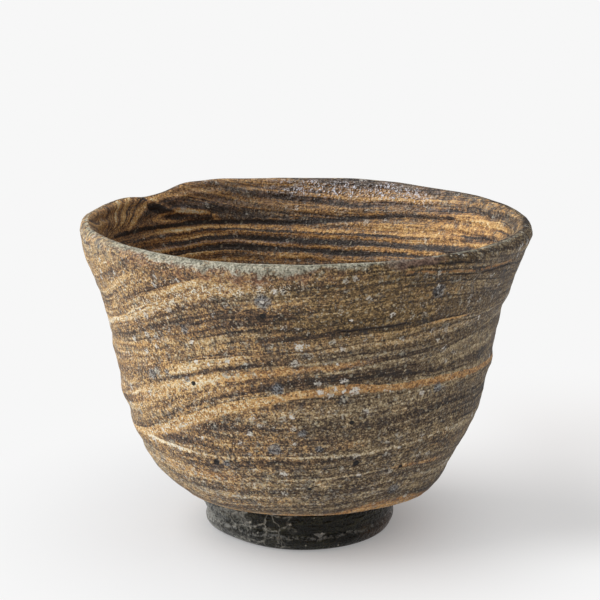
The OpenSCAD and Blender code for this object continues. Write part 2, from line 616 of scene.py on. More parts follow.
@dataclass(frozen=True)
class Strata:
    """How the clay's layers run through the wall, each as a line and its place in the pile."""

    seam_top: Trace = Trace((
        (0, 31), (45, 28), (90, 25.5), (135, 22.5), (170, 20.5), (190, 20), (200, 20.5), (205, 21),
        (210, 21.7), (215, 22.9), (220, 23.7), (225, 24.8), (230, 26.4), (235, 27.5), (240, 28.8),
        (245, 29.9), (250, 30.8), (255, 31.5), (260, 32.1), (265, 32.7), (270, 33.1), (275, 33.5),
        (280, 33.9), (286, 33.9), (291, 33.3), (300, 33.3), (310, 33.2), (320, 32.9), (330, 32.3),
        (340, 31.9), (350, 31.5)))
    seam_width: Trace = Trace((
        (0, 0.9), (90, 1.2), (180, 0.8), (205, 1.1), (215, 2.0), (225, 2.5), (232, 2.9), (245, 2.4),
        (255, 2.0), (270, 1.5), (283, 1.9), (292, 1.3), (310, 1.5), (325, 1.4), (340, 1.0)))
    dark: Trace = Trace((
        (0, 37.5), (45, 33), (90, 29), (135, 26), (170, 23.4), (190, 22.4), (200, 22.6), (210, 23.6),
        (220, 25.7), (230, 28.5), (240, 30.8), (250, 32.5), (260, 33.8), (270, 34.8), (280, 35.6),
        (290, 36.2), (300, 36.5), (310, 37), (320, 38), (330, 38.6), (340, 39.3), (350, 38.8)))
    gold: Trace = Trace((
        (0, 39.8), (45, 36), (90, 32.5), (135, 29.5), (170, 27), (190, 26), (200, 26.5), (210, 28),
        (220, 30.3), (230, 32.4), (240, 34.2), (250, 35.7), (260, 36.6), (270, 37.1), (280, 37.7),
        (290, 38.2), (300, 38.6), (310, 39.2), (320, 39.9), (330, 40.2), (340, 40.6), (350, 40.4)))
    middle: Trace = Trace((
        (0, 42.5), (45, 40.5), (90, 38.5), (135, 36.5), (170, 34.5), (190, 33.8), (200, 34), (210, 35.2),
        (220, 36.4), (230, 37.6), (240, 39), (250, 40.2), (260, 41.3), (270, 42), (280, 42.9),
        (290, 43.3), (300, 43.5), (310, 43.9), (320, 43.6), (330, 43.3), (340, 43), (350, 42.8)))
    high: Trace = Trace((
        (0, 46.3), (45, 46), (90, 45), (135, 42), (170, 38.6), (190, 37.2), (200, 37.6), (210, 39.3),
        (220, 41.2), (230, 43.6), (240, 46), (250, 47.6), (260, 48.6), (270, 49.4), (280, 50.2),
        (290, 50.9), (300, 51), (310, 50.2), (320, 49), (330, 47.9), (340, 47), (350, 46.5)))
    top: Trace = Trace((
        (0, 50), (45, 49.6), (90, 49), (135, 46), (170, 42), (190, 40.2), (200, 40.5), (210, 42.5),
        (220, 45.2), (230, 48), (240, 50.2), (250, 51.7), (260, 52.6), (270, 53), (280, 53.3),
        (290, 53.6), (300, 53.8), (310, 53.4), (320, 52.3), (330, 51.2), (340, 50.4), (350, 50)))
    pale: Trace = Trace((
        (0, 22.6), (90, 21.5), (170, 20), (205, 20.1), (225, 20.4), (240, 20.3), (250, 20.7), (260, 21),
        (270, 21.2), (280, 21.2), (290, 21.4), (300, 21.9), (305, 22.2), (310, 22.5), (315, 22.9),
        (322, 23.1), (340, 22.7)))
    low: Trace = Trace((
        (0, 16.3), (90, 15.5), (180, 16.3), (210, 16.5), (220, 16), (230, 15.8), (240, 15.9),
        (250, 16.3), (260, 16.6), (270, 16.9), (280, 17), (290, 17.2), (300, 17.8), (305, 18.1),
        (310, 17.8), (320, 17.1), (335, 16.6)))
    inner_tilt: Trace = Trace((
        (0, 3.4), (20, 2.5), (40, 1.2), (55, 0.3), (70, -0.2), (85, 0), (100, 0.5), (115, 1.2),
        (130, 1.7), (150, 2.2), (170, 3), (200, 3.4), (230, 2.4), (270, 1.4), (320, 2.4)))
    groove: Trace = Trace((
        (38, 49.4), (45, 48.9), (55, 48.6), (65, 47.9), (75, 47.2), (85, 46.6), (95, 46.4), (105, 46.7),
        (115, 47), (125, 47.3), (135, 47.7), (145, 48.1), (155, 48.4), (168, 48.9)))
    fold: Trace = Trace((
        (121, 49.1), (125, 49.4), (130, 49.8), (135, 50.7), (140, 52.3), (143, 53.3)))
    second_fold: Trace = Trace((
        (142, 53.1), (144, 52), (147, 51), (152, 49.8), (157, 48.9)))
    crack: Trace = Trace((
        (294, 51.9), (299, 51.6), (303, 51.2), (308, 50.9), (312, 50.5), (320, 50.1), (326, 49.9),
        (334, 49.7)))
    short_crack: Trace = Trace((
        (279, 43), (286, 43.2), (292, 43.4), (297, 43.5)))

    seam_layer = 33.0
    pale_layer = 20.5
    blur = 3.5
    crest_slack = 1.5
    far_away = 9.0

    def pile(self, lines: list[tuple[Trace, float]], bearing: np.ndarray, height: np.ndarray) -> np.ndarray:
        """Place in the pile of layers.

        Args:
            lines: traces from low to high, each with its place in the pile.
            bearing: bearings of the points.
            height: heights of the points in millimetres.

        Returns:
            The place, which rises a millimetre for a millimetre outside the traces.
        """
        heights = [trace.height_at(bearing, self.blur) for trace, _ in lines]
        places = [place for _, place in lines]
        result = places[0] + np.minimum(0.0, height - heights[0])
        for low, high, start, end in zip(heights, heights[1:], places, places[1:]):
            result += (end - start) * np.clip((height - low) / (high - low), 0.0, 1.0)
        return result + np.maximum(0.0, height - heights[-1])

    def steep(self, bearing: np.ndarray, height: np.ndarray) -> np.ndarray:
        """How much steeper the inner layers run over the groove, on both sides of the notch.

        Args:
            bearing: bearings of the points.
            height: heights of the points in millimetres.

        Returns:
            What this adds to the place in the pile, in millimetres.
        """
        over = ease((height - self.groove.height_at(bearing) - 0.2) / 1.2)
        return over * (9.0 * swelling(bearing, 177, 21) - 3.2 * swelling(bearing, 134, 20))

    def write(self, skin: Turned, crest_run: float, crest_height: float) -> None:
        """Stores the layers on the bowl's points.

        Args:
            skin: the bowl.
            crest_run: the crest's place along the outline.
            crest_height: the crest's height in millimetres.
        """
        bearing, height = skin.bearing, skin.height
        top = self.seam_top.height_at(bearing, self.blur)
        width = self.seam_width.height_at(bearing, self.blur)
        above = [
            (self.seam_top, self.seam_layer), (self.dark, 36.0), (self.gold, 38.0), (self.middle, 43.0),
            (self.high, 49.0), (self.top, 52.5)]
        below = [(self.low, 16.8), (self.pale, self.pale_layer)]
        past = skin.run - crest_run
        inner_height = crest_height - np.maximum(0.0, past)
        near_crest = np.minimum(height, inner_height + self.crest_slack)
        inner_height = np.where(past > 0, np.maximum(inner_height, near_crest), height)
        skin.keep("above", self.pile(above, bearing, height))
        skin.keep("below", self.pile(below, bearing, height))
        skin.keep("seam", (top - height) / width)
        tilt = self.inner_tilt.height_at(bearing, self.blur)
        skin.keep("within", inner_height - tilt + self.steep(bearing, height))
        skin.keep("past_crest", past)
        for name in ("groove", "fold", "second_fold", "crack", "short_crack"):
            above_line = getattr(self, name).above(bearing, height)
            skin.keep(name, np.clip(above_line, -self.far_away, self.far_away))


OUTER_VEINS = (
    Vein(35.1, 1.2, 280, 26, -0.26),
    Vein(34.0, 0.4, 316, 20, -0.26),
    Vein(36.6, 0.4, 320, 18, -0.1),
    Vein(34.6, 0.5, 240, 20, -0.16),
    Vein(37.4, 0.55, 262, 26, 0.14, 0.75),
    Vein(37.6, 0.8, 224, 18, 0.14, 0.5),
    Vein(38.6, 0.3, 246, 18, -0.24),
    Vein(40.0, 0.8, 242, 13, 0.3, 0.35),
    Vein(41.5, 1.4, 212, 20, -0.04, 0.2),
    Vein(43.1, 0.5, 283, 26, -0.18),
    Vein(41.9, 0.3, 292, 20, 0.1, 0.1),
    Vein(42.0, 0.25, 312, 4, 0.24, 0.8),
    Vein(41.3, 0.3, 316, 10, -0.2),
    Vein(40.3, 0.5, 300, 30, 0.08, 0.1),
    Vein(46.0, 0.4, 258, 10, -0.26),
    Vein(47.3, 1.0, 230, 30, -0.15),
    Vein(49.0, 0.3, 250, 45, -0.14),
    Vein(50.5, 0.8, 230, 32, 0.18, 0.2),
    Vein(51.5, 0.3, 268, 20, 0.12),
    Vein(52.3, 0.6, 238, 8, 0.14, 0.3),
    Vein(53.2, 0.35, 226, 14, -0.16),
    Vein(56.3, 0.8, 211, 8, 0.16, 0.2),
    Vein(55.0, 0.5, 204, 8, -0.12),
    Vein(58.6, 0.7, 214, 10, -0.14),
    Vein(44.6, 0.6, 210, 20, 0.06, 0.4),
    Vein(20.5, 0.26, 268, 62, 0.32, 0.1),
    Vein(20.5, 0.34, 218, 12, 0.34),
    Vein(19.3, 0.5, 250, 24, -0.16),
    Vein(22.6, 0.8, 229, 12, -0.16),
    Vein(16.9, 0.9, 230, 16, 0.1, 0.7),
    Vein(16.8, 0.22, 282, 22, 0.18),
    Vein(16.8, 0.4, 312, 9, 0.1, 0.8),
    Vein(14.4, 0.8, 250, 40, -0.16),
    Vein(15.1, 0.6, 306, 20, -0.12),
    Vein(25.4, 0.8, 290, 36, -0.16),
    Vein(28.4, 1.0, 264, 14, 0.12, 0.35),
    Vein(26.0, 0.9, 238, 12, -0.13),
    Vein(30.6, 0.5, 312, 16, -0.14),
    Vein(13.1, 0.35, 250, 22, 0.14, 0.2),
    Vein(10.6, 0.8, 270, 70, -0.13),
)

INNER_VEINS = (
    Vein(42.9, 0.5, 80, 60, -0.34),
    Vein(43.9, 0.5, 80, 70, 0.08, 0.6),
    Vein(45.0, 0.6, 120, 44, 0.08, 0.6),
    Vein(41.9, 0.35, 100, 60, 0.12, 0.6),
    Vein(41.1, 0.45, 100, 60, -0.34),
    Vein(42.2, 0.2, 130, 24, 0.2),
    Vein(40.3, 0.3, 130, 40, 0.12, 0.6),
    Vein(46.8, 0.9, 130, 26, -0.26),
    Vein(44.4, 0.3, 110, 50, -0.24),
    Vein(45.9, 0.4, 150, 30, -0.2),
    Vein(47.6, 0.9, 27, 20, 0.08, 0.5),
    Vein(49.2, 0.5, 30, 14, -0.16),
    Vein(50.9, 0.6, 50, 16, 0.1, 0.4),
    Vein(49.9, 0.35, 80, 12, -0.24),
    Vein(50.6, 0.4, 80, 10, 0.16, 0.2),
    Vein(49.6, 0.9, 118, 14, 0.1, 0.4),
)

BLUE_SPOTS = (
    Spot(259.3, 48.1, 1.5), Spot(260.6, 22.8, 1.2), Spot(304.9, 48.3, 1.4), Spot(236.2, 41.9, 0.8),
    Spot(221.0, 32.8, 1.1), Spot(244.4, 19.1, 0.75), Spot(305.0, 13.0, 1.3), Spot(234.5, 33.4, 0.6),
    Spot(268.7, 25.7, 0.8), Spot(274.2, 22.7, 0.7), Spot(227.3, 34.0, 0.6), Spot(262.6, 33.3, 1.2),
    Spot(311.3, 31.1, 0.9),
)

WHITE_SPOTS = (
    Spot(259.4, 48.1, 0.42), Spot(268.9, 40.4, 0.85), Spot(219.4, 22.5, 0.5), Spot(220.6, 22.2, 0.45),
    Spot(231.4, 25.1, 0.5), Spot(226.6, 23.9, 0.5), Spot(226.2, 20.3, 0.55), Spot(236.6, 20.1, 0.45),
    Spot(239.0, 36.2, 0.6), Spot(242.8, 36.5, 0.45), Spot(248.5, 37.4, 0.45), Spot(274.0, 33.0, 0.5),
    Spot(278.5, 33.2, 0.6), Spot(280.8, 32.8, 0.5), Spot(254.6, 28.3, 0.7), Spot(266.2, 28.7, 0.6),
    Spot(287.6, 17.2, 0.5), Spot(282.6, 47.1, 0.35), Spot(275.1, 37.2, 0.4), Spot(278.1, 37.3, 0.4),
    Spot(232.1, 43.5, 0.5), Spot(226.9, 43.6, 0.5), Spot(221.2, 43.7, 0.4), Spot(300.0, 21.8, 0.4),
    Spot(315.7, 22.9, 0.4), Spot(319.9, 23.0, 0.4), Spot(281.6, 44.6, 0.4), Spot(262.9, 50.0, 0.6),
)

PITS = (
    Spot(240.8, 19.4, 0.75), Spot(286.4, 19.6, 0.65), Spot(236.7, 32.8, 0.45), Spot(283.8, 27.3, 0.45),
    Spot(259.5, 45.8, 0.5), Spot(303.4, 17.9, 0.5), Spot(304.2, 47.5, 0.4), Spot(271.6, 14.9, 0.35),
)


class Side(Enum):
    """Parts of the bowl that look different, each as bearing, half angle and how softly it fades out."""

    LEFT = (205, 40, 30)
    FAR_LEFT = (203, 14, 8)
    FRONT = (250, 50, 20)
    CALM = (280, 42, 25)
    MOSSY = (286, 20, 16)
    RIGHT = (340, 75, 35)
    HIGH_RIGHT = (322, 26, 14)
    PALE_RIGHT = (318, 20, 12)
    WARM_LEFT = (225, 30, 40)
    RAISED_EDGE = (330, 50, 40)
    CHIPPED_EDGE = (306, 14, 12)
    BRIGHT_SEAM = (236, 34, 24)
    SEAM_SHADOW = (240, 16, 12)
    FROSTED_VEIN = (243, 24, 8)
    FROSTED_PALE_VEIN = (218, 12, 6)
    FROSTED_SEAM = (224, 16, 10)
    ASH = (252, 40, 9)
    THICK_ASH = (249, 16, 14)
    RUST = (240, 38, 8)
    BEADS = (278, 24, 12)
    PLUM = (297, 6, 4)
    CREST_RIGHT = (316, 22, 6)
    CREST_LEFT = (200, 22, 8)
    INNER_LEFT = (160, 34, 20)
    INNER_DIM_LEFT = (162, 24, 20)
    INNER_WARM_LEFT = (150, 25, 15)
    INNER_FOLD = (132, 28, 8)
    INNER_GROOVE = (118, 22, 8)
    INNER_PAINTED_GLEAM = (128, 26, 14)
    INNER_BACK = (85, 50, 30)
    INNER_WARM_BACK = (100, 60, 30)
    INNER_PAINTED_LIGHT = (26, 16, 12)
    INNER_DIM_RIGHT = (24, 22, 12)
    WET = (74, 20, 10)
    PAINTED_SHEEN = (85, 45, 15)


# The colours of each clay from its darkest grains to its lightest
OLIVE_STOPS = (
    (0.0, paint(44, 33, 23)), (0.25, paint(88, 70, 51)), (0.45, paint(134, 115, 86)),
    (0.65, paint(182, 162, 124)), (0.85, paint(226, 210, 174)), (1.0, paint(248, 240, 220)))
MOSS_STOPS = (
    (0.0, paint(44, 34, 20)), (0.25, paint(92, 71, 42)), (0.45, paint(141, 115, 73)),
    (0.65, paint(194, 163, 110)), (0.85, paint(230, 208, 162)), (1.0, paint(248, 240, 216)))
WARM_STOPS = (
    (0.0, paint(45, 32, 23)), (0.25, paint(94, 71, 53)), (0.45, paint(144, 112, 79)),
    (0.62, paint(200, 156, 98)), (0.8, paint(235, 198, 136)), (1.0, paint(252, 236, 202)))
ORANGE_STOPS = (
    (0.0, paint(56, 38, 26)), (0.25, paint(118, 84, 54)), (0.45, paint(180, 130, 80)),
    (0.62, paint(222, 167, 98)), (0.8, paint(244, 205, 140)), (1.0, paint(252, 238, 206)))
GREY_STOPS = (
    (0.0, paint(50, 46, 46)), (0.3, paint(92, 88, 86)), (0.6, paint(156, 156, 150)),
    (1.0, paint(238, 236, 228)))
ASH_STOPS = (
    (0.0, paint(70, 68, 60)), (0.3, paint(122, 120, 104)), (0.55, paint(170, 168, 148)),
    (0.8, paint(206, 202, 182)), (1.0, paint(236, 230, 212)))


class MarbledClay:
    """Dark and light stoneware clays pressed together, with wood ash melted over them.

    A tone says how light the clay is, from 0 to 1. Veins, the seam and the grooves change it, with painted
    shade and painted highlights on the groove, seam and folds; ramps turn it into colours, and specks, spots,
    cracks, ash and gloss come on top, with painted glints, sheen and gleam.
    """

    roughness = 0.66
    specular = 0.45
    middle_tone = 0.4
    pit_depth = 0.4
    crack_depth = 0.25

    def __init__(self, spots: dict[str, list[tuple[Spot, Vector]]]) -> None:
        """Looks up where a point lies, and the sand and waves that fray every edge.

        Args:
            spots: for each kind, the spots and their places on the wall in millimetres.
        """
        self.spots = spots
        graph = self.graph = Graph(bpy.data.materials.new("marbled_stoneware"))
        place = self.place = graph.millimetres()
        x, y, self.z = graph.split(place)
        self.around = graph.vector("NORMALIZE", graph.join(x, y, 0.0))
        self.broad_wave = graph.noise(place, 0.13)
        self.fine_wave = graph.noise(graph.join(x, y, self.z), 0.6)
        self.sand = graph.noise(place, 1.7, 1.0)
        self.dust = graph.noise(place, 4.0, 0.0)
        _, grain_colour = graph.cells(place, 3.2)
        grain_pick, self.grain_hue, self.grain_grey = graph.channels(grain_colour)
        self.grain = self.sand * 0.15 + self.dust * 0.17 + (grain_pick - 0.5) * 0.36
        self.past = graph.attribute("past_crest")
        self.inner = (self.past + self.fine_wave * 0.3).rise(0.1, 0.3)
        self.outer_side = 1 - self.inner

    def _window(self, bearing: float, half_angle: float, soft: float = 6.0) -> Value:
        """A mask round a bearing.

        Args:
            bearing: its middle.
            half_angle: how far it reaches to each side.
            soft: over how many degrees to both sides of that it fades.

        Returns:
            1 inside and 0 outside.
        """
        turn = math.radians(bearing)
        aim = (math.cos(turn), math.sin(turn), 0)
        facing = Value(self.graph, self.graph.vector("DOT_PRODUCT", self.around, aim, output=1))
        outer = math.cos(math.radians(min(half_angle + soft, 180.0)))
        return facing.rise(outer, math.cos(math.radians(max(half_angle - soft, 0.0))))

    def _side(self, side: Side) -> Value:
        """1 in a part of the bowl, and 0 outside it."""
        return self._window(*side.value)

    def _streaks(self, along: float, across: float, detail: float = 2.0) -> Value:
        """Noise that follows the layers.

        Args:
            along: lumps in a millimetre along a layer.
            across: lumps in a millimetre through the pile of layers.
            detail: number of finer noises on top.

        Returns:
            The noise.
        """
        stretched = self.graph.vector("MULTIPLY", self.pile, (along, along, across))
        return self.graph.noise(stretched, 1.0, detail)

    def build(self) -> bpy.types.Material:
        """Makes the material."""
        self._find_layers()
        self._stripe()
        self._press_veins()
        self._shape_seam()
        self._shade_inside()
        colour = self._mix_clays()
        colour = self._scatter_grains(colour)
        colour = self._set_spots(colour)
        colour = self._crack(colour)
        colour = self._melt_ash(colour)
        colour = self._wet_with_painted_glints(colour)
        rough = self.roughness + self.mottle * 0.05 - self.speck * 0.25 - self.wet * 0.42
        rough = rough + self.sand * 0.06 - self.ash * 0.1
        height = self.sand * 0.08 + self.dust * 0.04 + self.mottle * 0.05 + self.fine * 0.06
        height = height + self.hair * 0.04 + self.speck * 0.05 + self.grit * 0.04 + self.wet * self.sand * 0.1
        height = height - self.pit * self.pit_depth - self.cracks * self.crack_depth * self.outer_side
        return self.graph.finish(
            {"Specular IOR Level": self.specular},
            {"Base Color": colour, "Roughness": rough, "Normal": self.graph.bump(height)})

    def _find_layers(self) -> None:
        """Finds the place in the pile of layers, and the unevenness that follows it."""
        graph = self.graph
        seam = graph.attribute("seam") + self.broad_wave * 0.05
        self.seam = seam + self.fine_wave * 0.07 + self.sand * 0.05
        self.under_seam = self.seam.rise(0.0, 0.04)
        above = graph.attribute("above")
        self.within = graph.attribute("within")
        outer_layer = above + (graph.attribute("below") - above) * self.under_seam
        layer = outer_layer + (self.within - outer_layer) * self.inner
        self.wavy = layer + self.broad_wave * 0.25 + self.fine_wave * 0.08
        upright = graph.vector("SCALE", (0.0, 0.0, 1.0), scale=self.wavy)
        flat = graph.vector("MULTIPLY", self.place, (1.0, 1.0, 0.0))
        self.pile = graph.vector("ADD", flat, upright)
        self.broad = self._streaks(0.028, 0.42)
        self.fine = self._streaks(0.05, 1.2)
        self.hair = self._streaks(0.11, 3.4, 1.0)
        self.mottle = graph.noise(self.place, 0.5)
        self.clump = graph.noise(self.place, 0.95, 1.0)

    def _stripe(self) -> None:
        """Gives each layer its tone, and says how orange it is."""
        thread = self._streaks(0.04, 1.9, 0.0)
        self.right = self._side(Side.RIGHT)
        self.left = self._side(Side.LEFT)
        self.tall = self.z + self.broad_wave
        low_half = self.tall.rise(11.0, 14.0) * self.tall.fall(29.0, 33.0)
        self.calm = self._side(Side.CALM) * low_half * self.outer_side
        threads = (0 - thread).rise(0.5, 1.1) * 0.14 - thread.rise(0.5, 1.0) * 0.24
        front = self._side(Side.FRONT) * self.outer_side
        self.deep = self._side(Side.INNER_LEFT) * self.inner
        self.high_right = self._side(Side.HIGH_RIGHT) * self.tall.rise(36.0, 42.0) * self.outer_side
        stripes = self.broad * (0.15 - front * 0.06) + self.fine * 0.15 + self.hair * 0.11
        stripes = stripes + threads * (self.right * 0.4 + 0.7)
        contrast = 1 - self.calm * 0.3 + self.inner * 0.1 + self.right * 0.15 + self.deep * 0.6
        # The left side, facing the lamp, is made lighter: partly its warmer clay, partly painted light.
        tone = self.middle_tone + stripes * contrast + self.left * 0.1 * self.outer_side
        tone = tone - self.high_right * 0.07
        pale_right = self._side(Side.PALE_RIGHT) * self.tall.rise(30.0, 33.0) * self.tall.fall(37.0, 40.0)
        tone = tone + pale_right * self.outer_side * 0.09
        near_rim = (0 - self.past).fall(2.0, 5.0) * self.outer_side
        patchy = self.clump * (self.calm * 0.05 + near_rim * 0.08 + 0.035)
        self.tone = tone + self.mottle * (self.calm * 0.04 + 0.06) + patchy
        self.orange = (self.broad * -0.8 + self.mottle * 0.4 + self.left * 0.1).rise(0.5, 1.4) * 0.6

    def _press_veins(self) -> None:
        """Presses the veins into the layers."""
        for veins, side in ((OUTER_VEINS, self.outer_side), (INNER_VEINS, self.inner)):
            lighter, orange = self._lay(veins)
            self.tone = self.tone + lighter * side
            self.orange = self.orange.most(orange * side)

    def _lay(self, veins: tuple[Vein, ...]) -> tuple[Value, Value]:
        """Masks veins, frayed by sand.

        Args:
            veins: the veins.

        Returns:
            How much lighter and how orange they make the clay.
        """
        lighter, orange = self.wavy * 0.0, self.wavy * 0.0
        frayed = self.wavy + self.sand * 0.16
        for vein in veins:
            away = abs(frayed - vein.layer)
            mask = away.fall(vein.half_width * 0.35, vein.half_width * 1.3)
            mask = mask * self._window(vein.bearing, vein.half_angle)
            lighter = lighter + mask * vein.lighter
            if vein.orange > 0:
                orange = orange.most(mask * vein.orange)
        return lighter, orange

    def _shape_seam(self) -> None:
        """Lays the pale seam round the wall, with painted shade below it, and bares the trimmed edge at its
        foot.
        """
        self.seam_mask = self.under_seam * (self.seam + self.grain * 0.4).fall(0.75, 1.0) * self.outer_side
        edge_height = self.z + self.fine_wave * 0.2 + self.broad_wave * 0.25
        edge_height = edge_height - self._side(Side.RAISED_EDGE) * 0.9 - self._side(Side.CHIPPED_EDGE) * 1.1
        bare = (edge_height + self.grain).fall(8.3, 9.0) * self.outer_side
        orange = self.orange * (1 - self.under_seam * self.z.rise(17.0, 20.0) * 0.5)
        orange = orange.most(self.seam_mask * (0.85 - self.left * 0.25))
        self.orange = orange.most(bare * 0.95)
        seam_tone = 0.57 + self._side(Side.BRIGHT_SEAM) * 0.16 + self.fine * 0.04 + self.clump * 0.09
        tone = self.tone
        tone = tone + (seam_tone - tone) * self.seam_mask * 0.85 + (0.58 - tone) * bare * 0.75
        # Painted shade in a dark wedge below the seam.
        under = abs(self.seam - 1.45).fall(0.25, 0.6) * self._side(Side.SEAM_SHADOW) * self.outer_side
        tone = tone - under * 0.13
        self.tone = tone + (edge_height + self.sand * 0.1).fall(7.5, 7.9) * self.outer_side * 0.12

    def _shade_inside(self) -> None:
        """Paints shade into the groove and under the folds, paints highlights on the folds and the groove's
        edge, paints light on the inner right wall, and adds the grain everywhere.
        """
        inner, past, tone, orange = self.inner, self.past, self.tone, self.orange
        groove = self.graph.attribute("groove") + self.fine_wave * 0.1 + self.sand * 0.04
        # Painted shade: the hollow above the groove by the folds is pulled dark and the groove itself
        # darkened; its upper edge gets a painted highlight.
        shade = (groove - 0.2).rise(-0.5, 0.1) * (groove + self.sand * 0.2).fall(0.9, 2.2)
        shade = shade * self._side(Side.INNER_FOLD) * inner
        tone = tone + (0.33 - tone) * shade * 0.6 - abs(groove).fall(0.1, 0.55) * inner * 0.4
        lit_edge = abs(groove - 0.6).fall(0.05, 0.2) * self._side(Side.INNER_GROOVE) * inner
        tone = tone + lit_edge * (self.mottle + 0.5) * 0.25
        # Painted highlight along each fold's ridge, and painted shade below the first fold.
        for name, width, under in (("fold", 0.6, 0.3), ("second_fold", 0.4, 0.0)):
            ridge = self.graph.attribute(name) + self.fine_wave * 0.15 + self.sand * 0.08
            lit = abs(ridge).fall(width * 0.3, width) * inner
            tone = tone + lit * 0.22
            tone = tone - abs(ridge + 1.3).fall(0.4, 1.1) * inner * under
            orange = orange.most(lit * 0.5)
        # Painted light: the inner right wall, which faces the lamp, is made lighter and more golden.
        painted_lamp_light = self._side(Side.INNER_PAINTED_LIGHT) * (self.within - 44).rise(-2, 1)
        painted_lamp_light = painted_lamp_light * (past - 2.0).rise(0.0, 2.5) * inner
        dim = self._side(Side.INNER_DIM_RIGHT) * past.fall(2.6, 4.0) * inner
        tone = tone + painted_lamp_light * 0.04 - dim * 0.15 + self.clump * (painted_lamp_light + dim) * 0.17
        tone = tone + self._side(Side.INNER_DIM_LEFT) * inner * 0.1
        warm = inner * 0.2 + self._side(Side.INNER_WARM_LEFT) * inner * 0.4
        self.orange = orange.most(painted_lamp_light * 0.7).most(warm)
        self.lighter_inside = (tone - 0.42) * inner
        coarse = 1.0 - self.right * 0.1 * self.outer_side + self.calm * 0.2 - inner * 0.35
        self.tone = tone + self.grain * coarse

    def _mix_clays(self) -> Socket:
        """Turns the tone into the clays' colours."""
        graph, inner = self.graph, self.inner
        low_wall = self.z.fall(16.0, 24.0)
        orange = self.orange.most((self.lighter_inside * 2.4).least(0.55))
        hue = self._streaks(0.03, 0.3) * 0.5 + self.lighter_inside * 2.5
        hue = hue + self._side(Side.WARM_LEFT) * 0.7 + self._side(Side.INNER_WARM_BACK) * 0.4
        hue = hue - self.right * 0.4 + inner * 0.3 - low_wall * 0.35 + (self.grain_hue - 0.5) * 0.4
        hue = (hue + self.clump * 0.25 + self.mottle * 0.35).rise(-0.3, 0.8)
        moss = self._side(Side.MOSSY) * self.tall.rise(38.0, 44.0) * self.outer_side
        olive_colour = graph.mix(moss, graph.ramp(self.tone, OLIVE_STOPS), graph.ramp(self.tone, MOSS_STOPS))
        colour = graph.mix(hue, olive_colour, graph.ramp(self.tone, WARM_STOPS))
        colour = graph.mix(orange, colour, graph.ramp(self.tone, ORANGE_STOPS))
        greyness = self.grain_grey * 0.5 + self.clump * 0.17 - self.mottle * 0.22 + low_wall * 0.09
        greyness = greyness - self.seam_mask * 0.2 + self.high_right * 0.1 - moss * 0.1
        greyness = greyness + inner * self._side(Side.INNER_BACK) * 0.14 - self.lighter_inside * 1.2
        greyness = greyness + self.left * 0.04 + inner * self.past.fall(2.0, 6.0) * 0.08 - self.deep * 0.3
        return graph.mix(greyness.rise(0.36, 0.7) * 0.6, colour, graph.ramp(self.tone, GREY_STOPS))

    def _scatter_grains(self, colour: Socket) -> Socket:
        """Scatters ash specks, grit, frost, iron and glitter over the clay, the bright glitter partly painted
        glints.

        Args:
            colour: the colour below.

        Returns:
            The colour with them.
        """
        graph, inner, sand, grain = self.graph, self.inner, self.sand, self.grain
        pushed = graph.vector("SCALE", (0.4, 0.0, 0.2), scale=self.fine_wave)
        shaken = graph.vector("SCALE", (0.0, 0.25, 0.15), scale=sand)
        warped = graph.vector("ADD", graph.vector("ADD", self.place, pushed), shaken)
        far, speck_colour = graph.cells(warped, 0.55)
        chance, size, pale = graph.channels(speck_colour)
        self.speck = (far * 1.8 - size * 0.3 - grain * 0.7).fall(0.1, 0.45) * chance.fall(0.3, 0.34)
        shown = self.speck * (pale * 0.55 + 0.2 + grain * 2) * (1 - inner * 0.5)
        colour = graph.mix(shown, colour, graph.mix(pale, Tint.ASH.value, Tint.WHITE.value))

        far, grit_colour = graph.cells(warped, 1.3)
        chance, size, pale = graph.channels(grit_colour)
        self.grit = (far * 0.77 - size * 0.12).fall(0.08, 0.26) * chance.fall(0.32, 0.36)
        shown = self.grit * (pale * 0.7 + 0.1) * (1 - inner * 0.55)
        colour = graph.mix(shown, colour, graph.mix(size, Tint.CREAM.value, Tint.ASH.value))
        iron = (far * 0.77).fall(0.1, 0.24) * chance.rise(0.84, 0.88)

        frost = abs(self.wavy - 50.8).fall(0.4, 1.8) * self._side(Side.FROSTED_VEIN)
        frost = frost + abs(self.wavy - 20.5).fall(0.1, 0.4) * self._side(Side.FROSTED_PALE_VEIN)
        frost = frost + self.seam_mask * self._side(Side.FROSTED_SEAM)
        flecks = (self.dust * 0.9 + self.clump * 0.6 + sand * 0.4).rise(0.45, 0.9)
        colour = graph.mix(frost * self.outer_side * flecks * 0.9, colour, Tint.FROST.value)
        colour = graph.mix(iron * 0.85, colour, Tint.SOOT.value)

        # Bright glitter grains, partly painted glints: fewer on the shaded right and inside, and brighter on
        # lighter clay. Dark grains share their cells.
        far, glitter_colour = graph.cells(self.place, 2.9)
        chance, size, _ = graph.channels(glitter_colour)
        glitter = (far / 2.9 - size * 0.05).fall(0.03, 0.13)
        lights = chance.fall(0.13, 0.16) * (0.9 - self.right * 0.35 - inner * 0.4)
        colour = graph.mix(glitter * lights * (self.tone + 0.3), colour, Tint.GLITTER_AND_GLINT.value)
        return graph.mix(glitter * chance.rise(0.84, 0.87) * 0.75, colour, Tint.DARK_GRAIN.value)

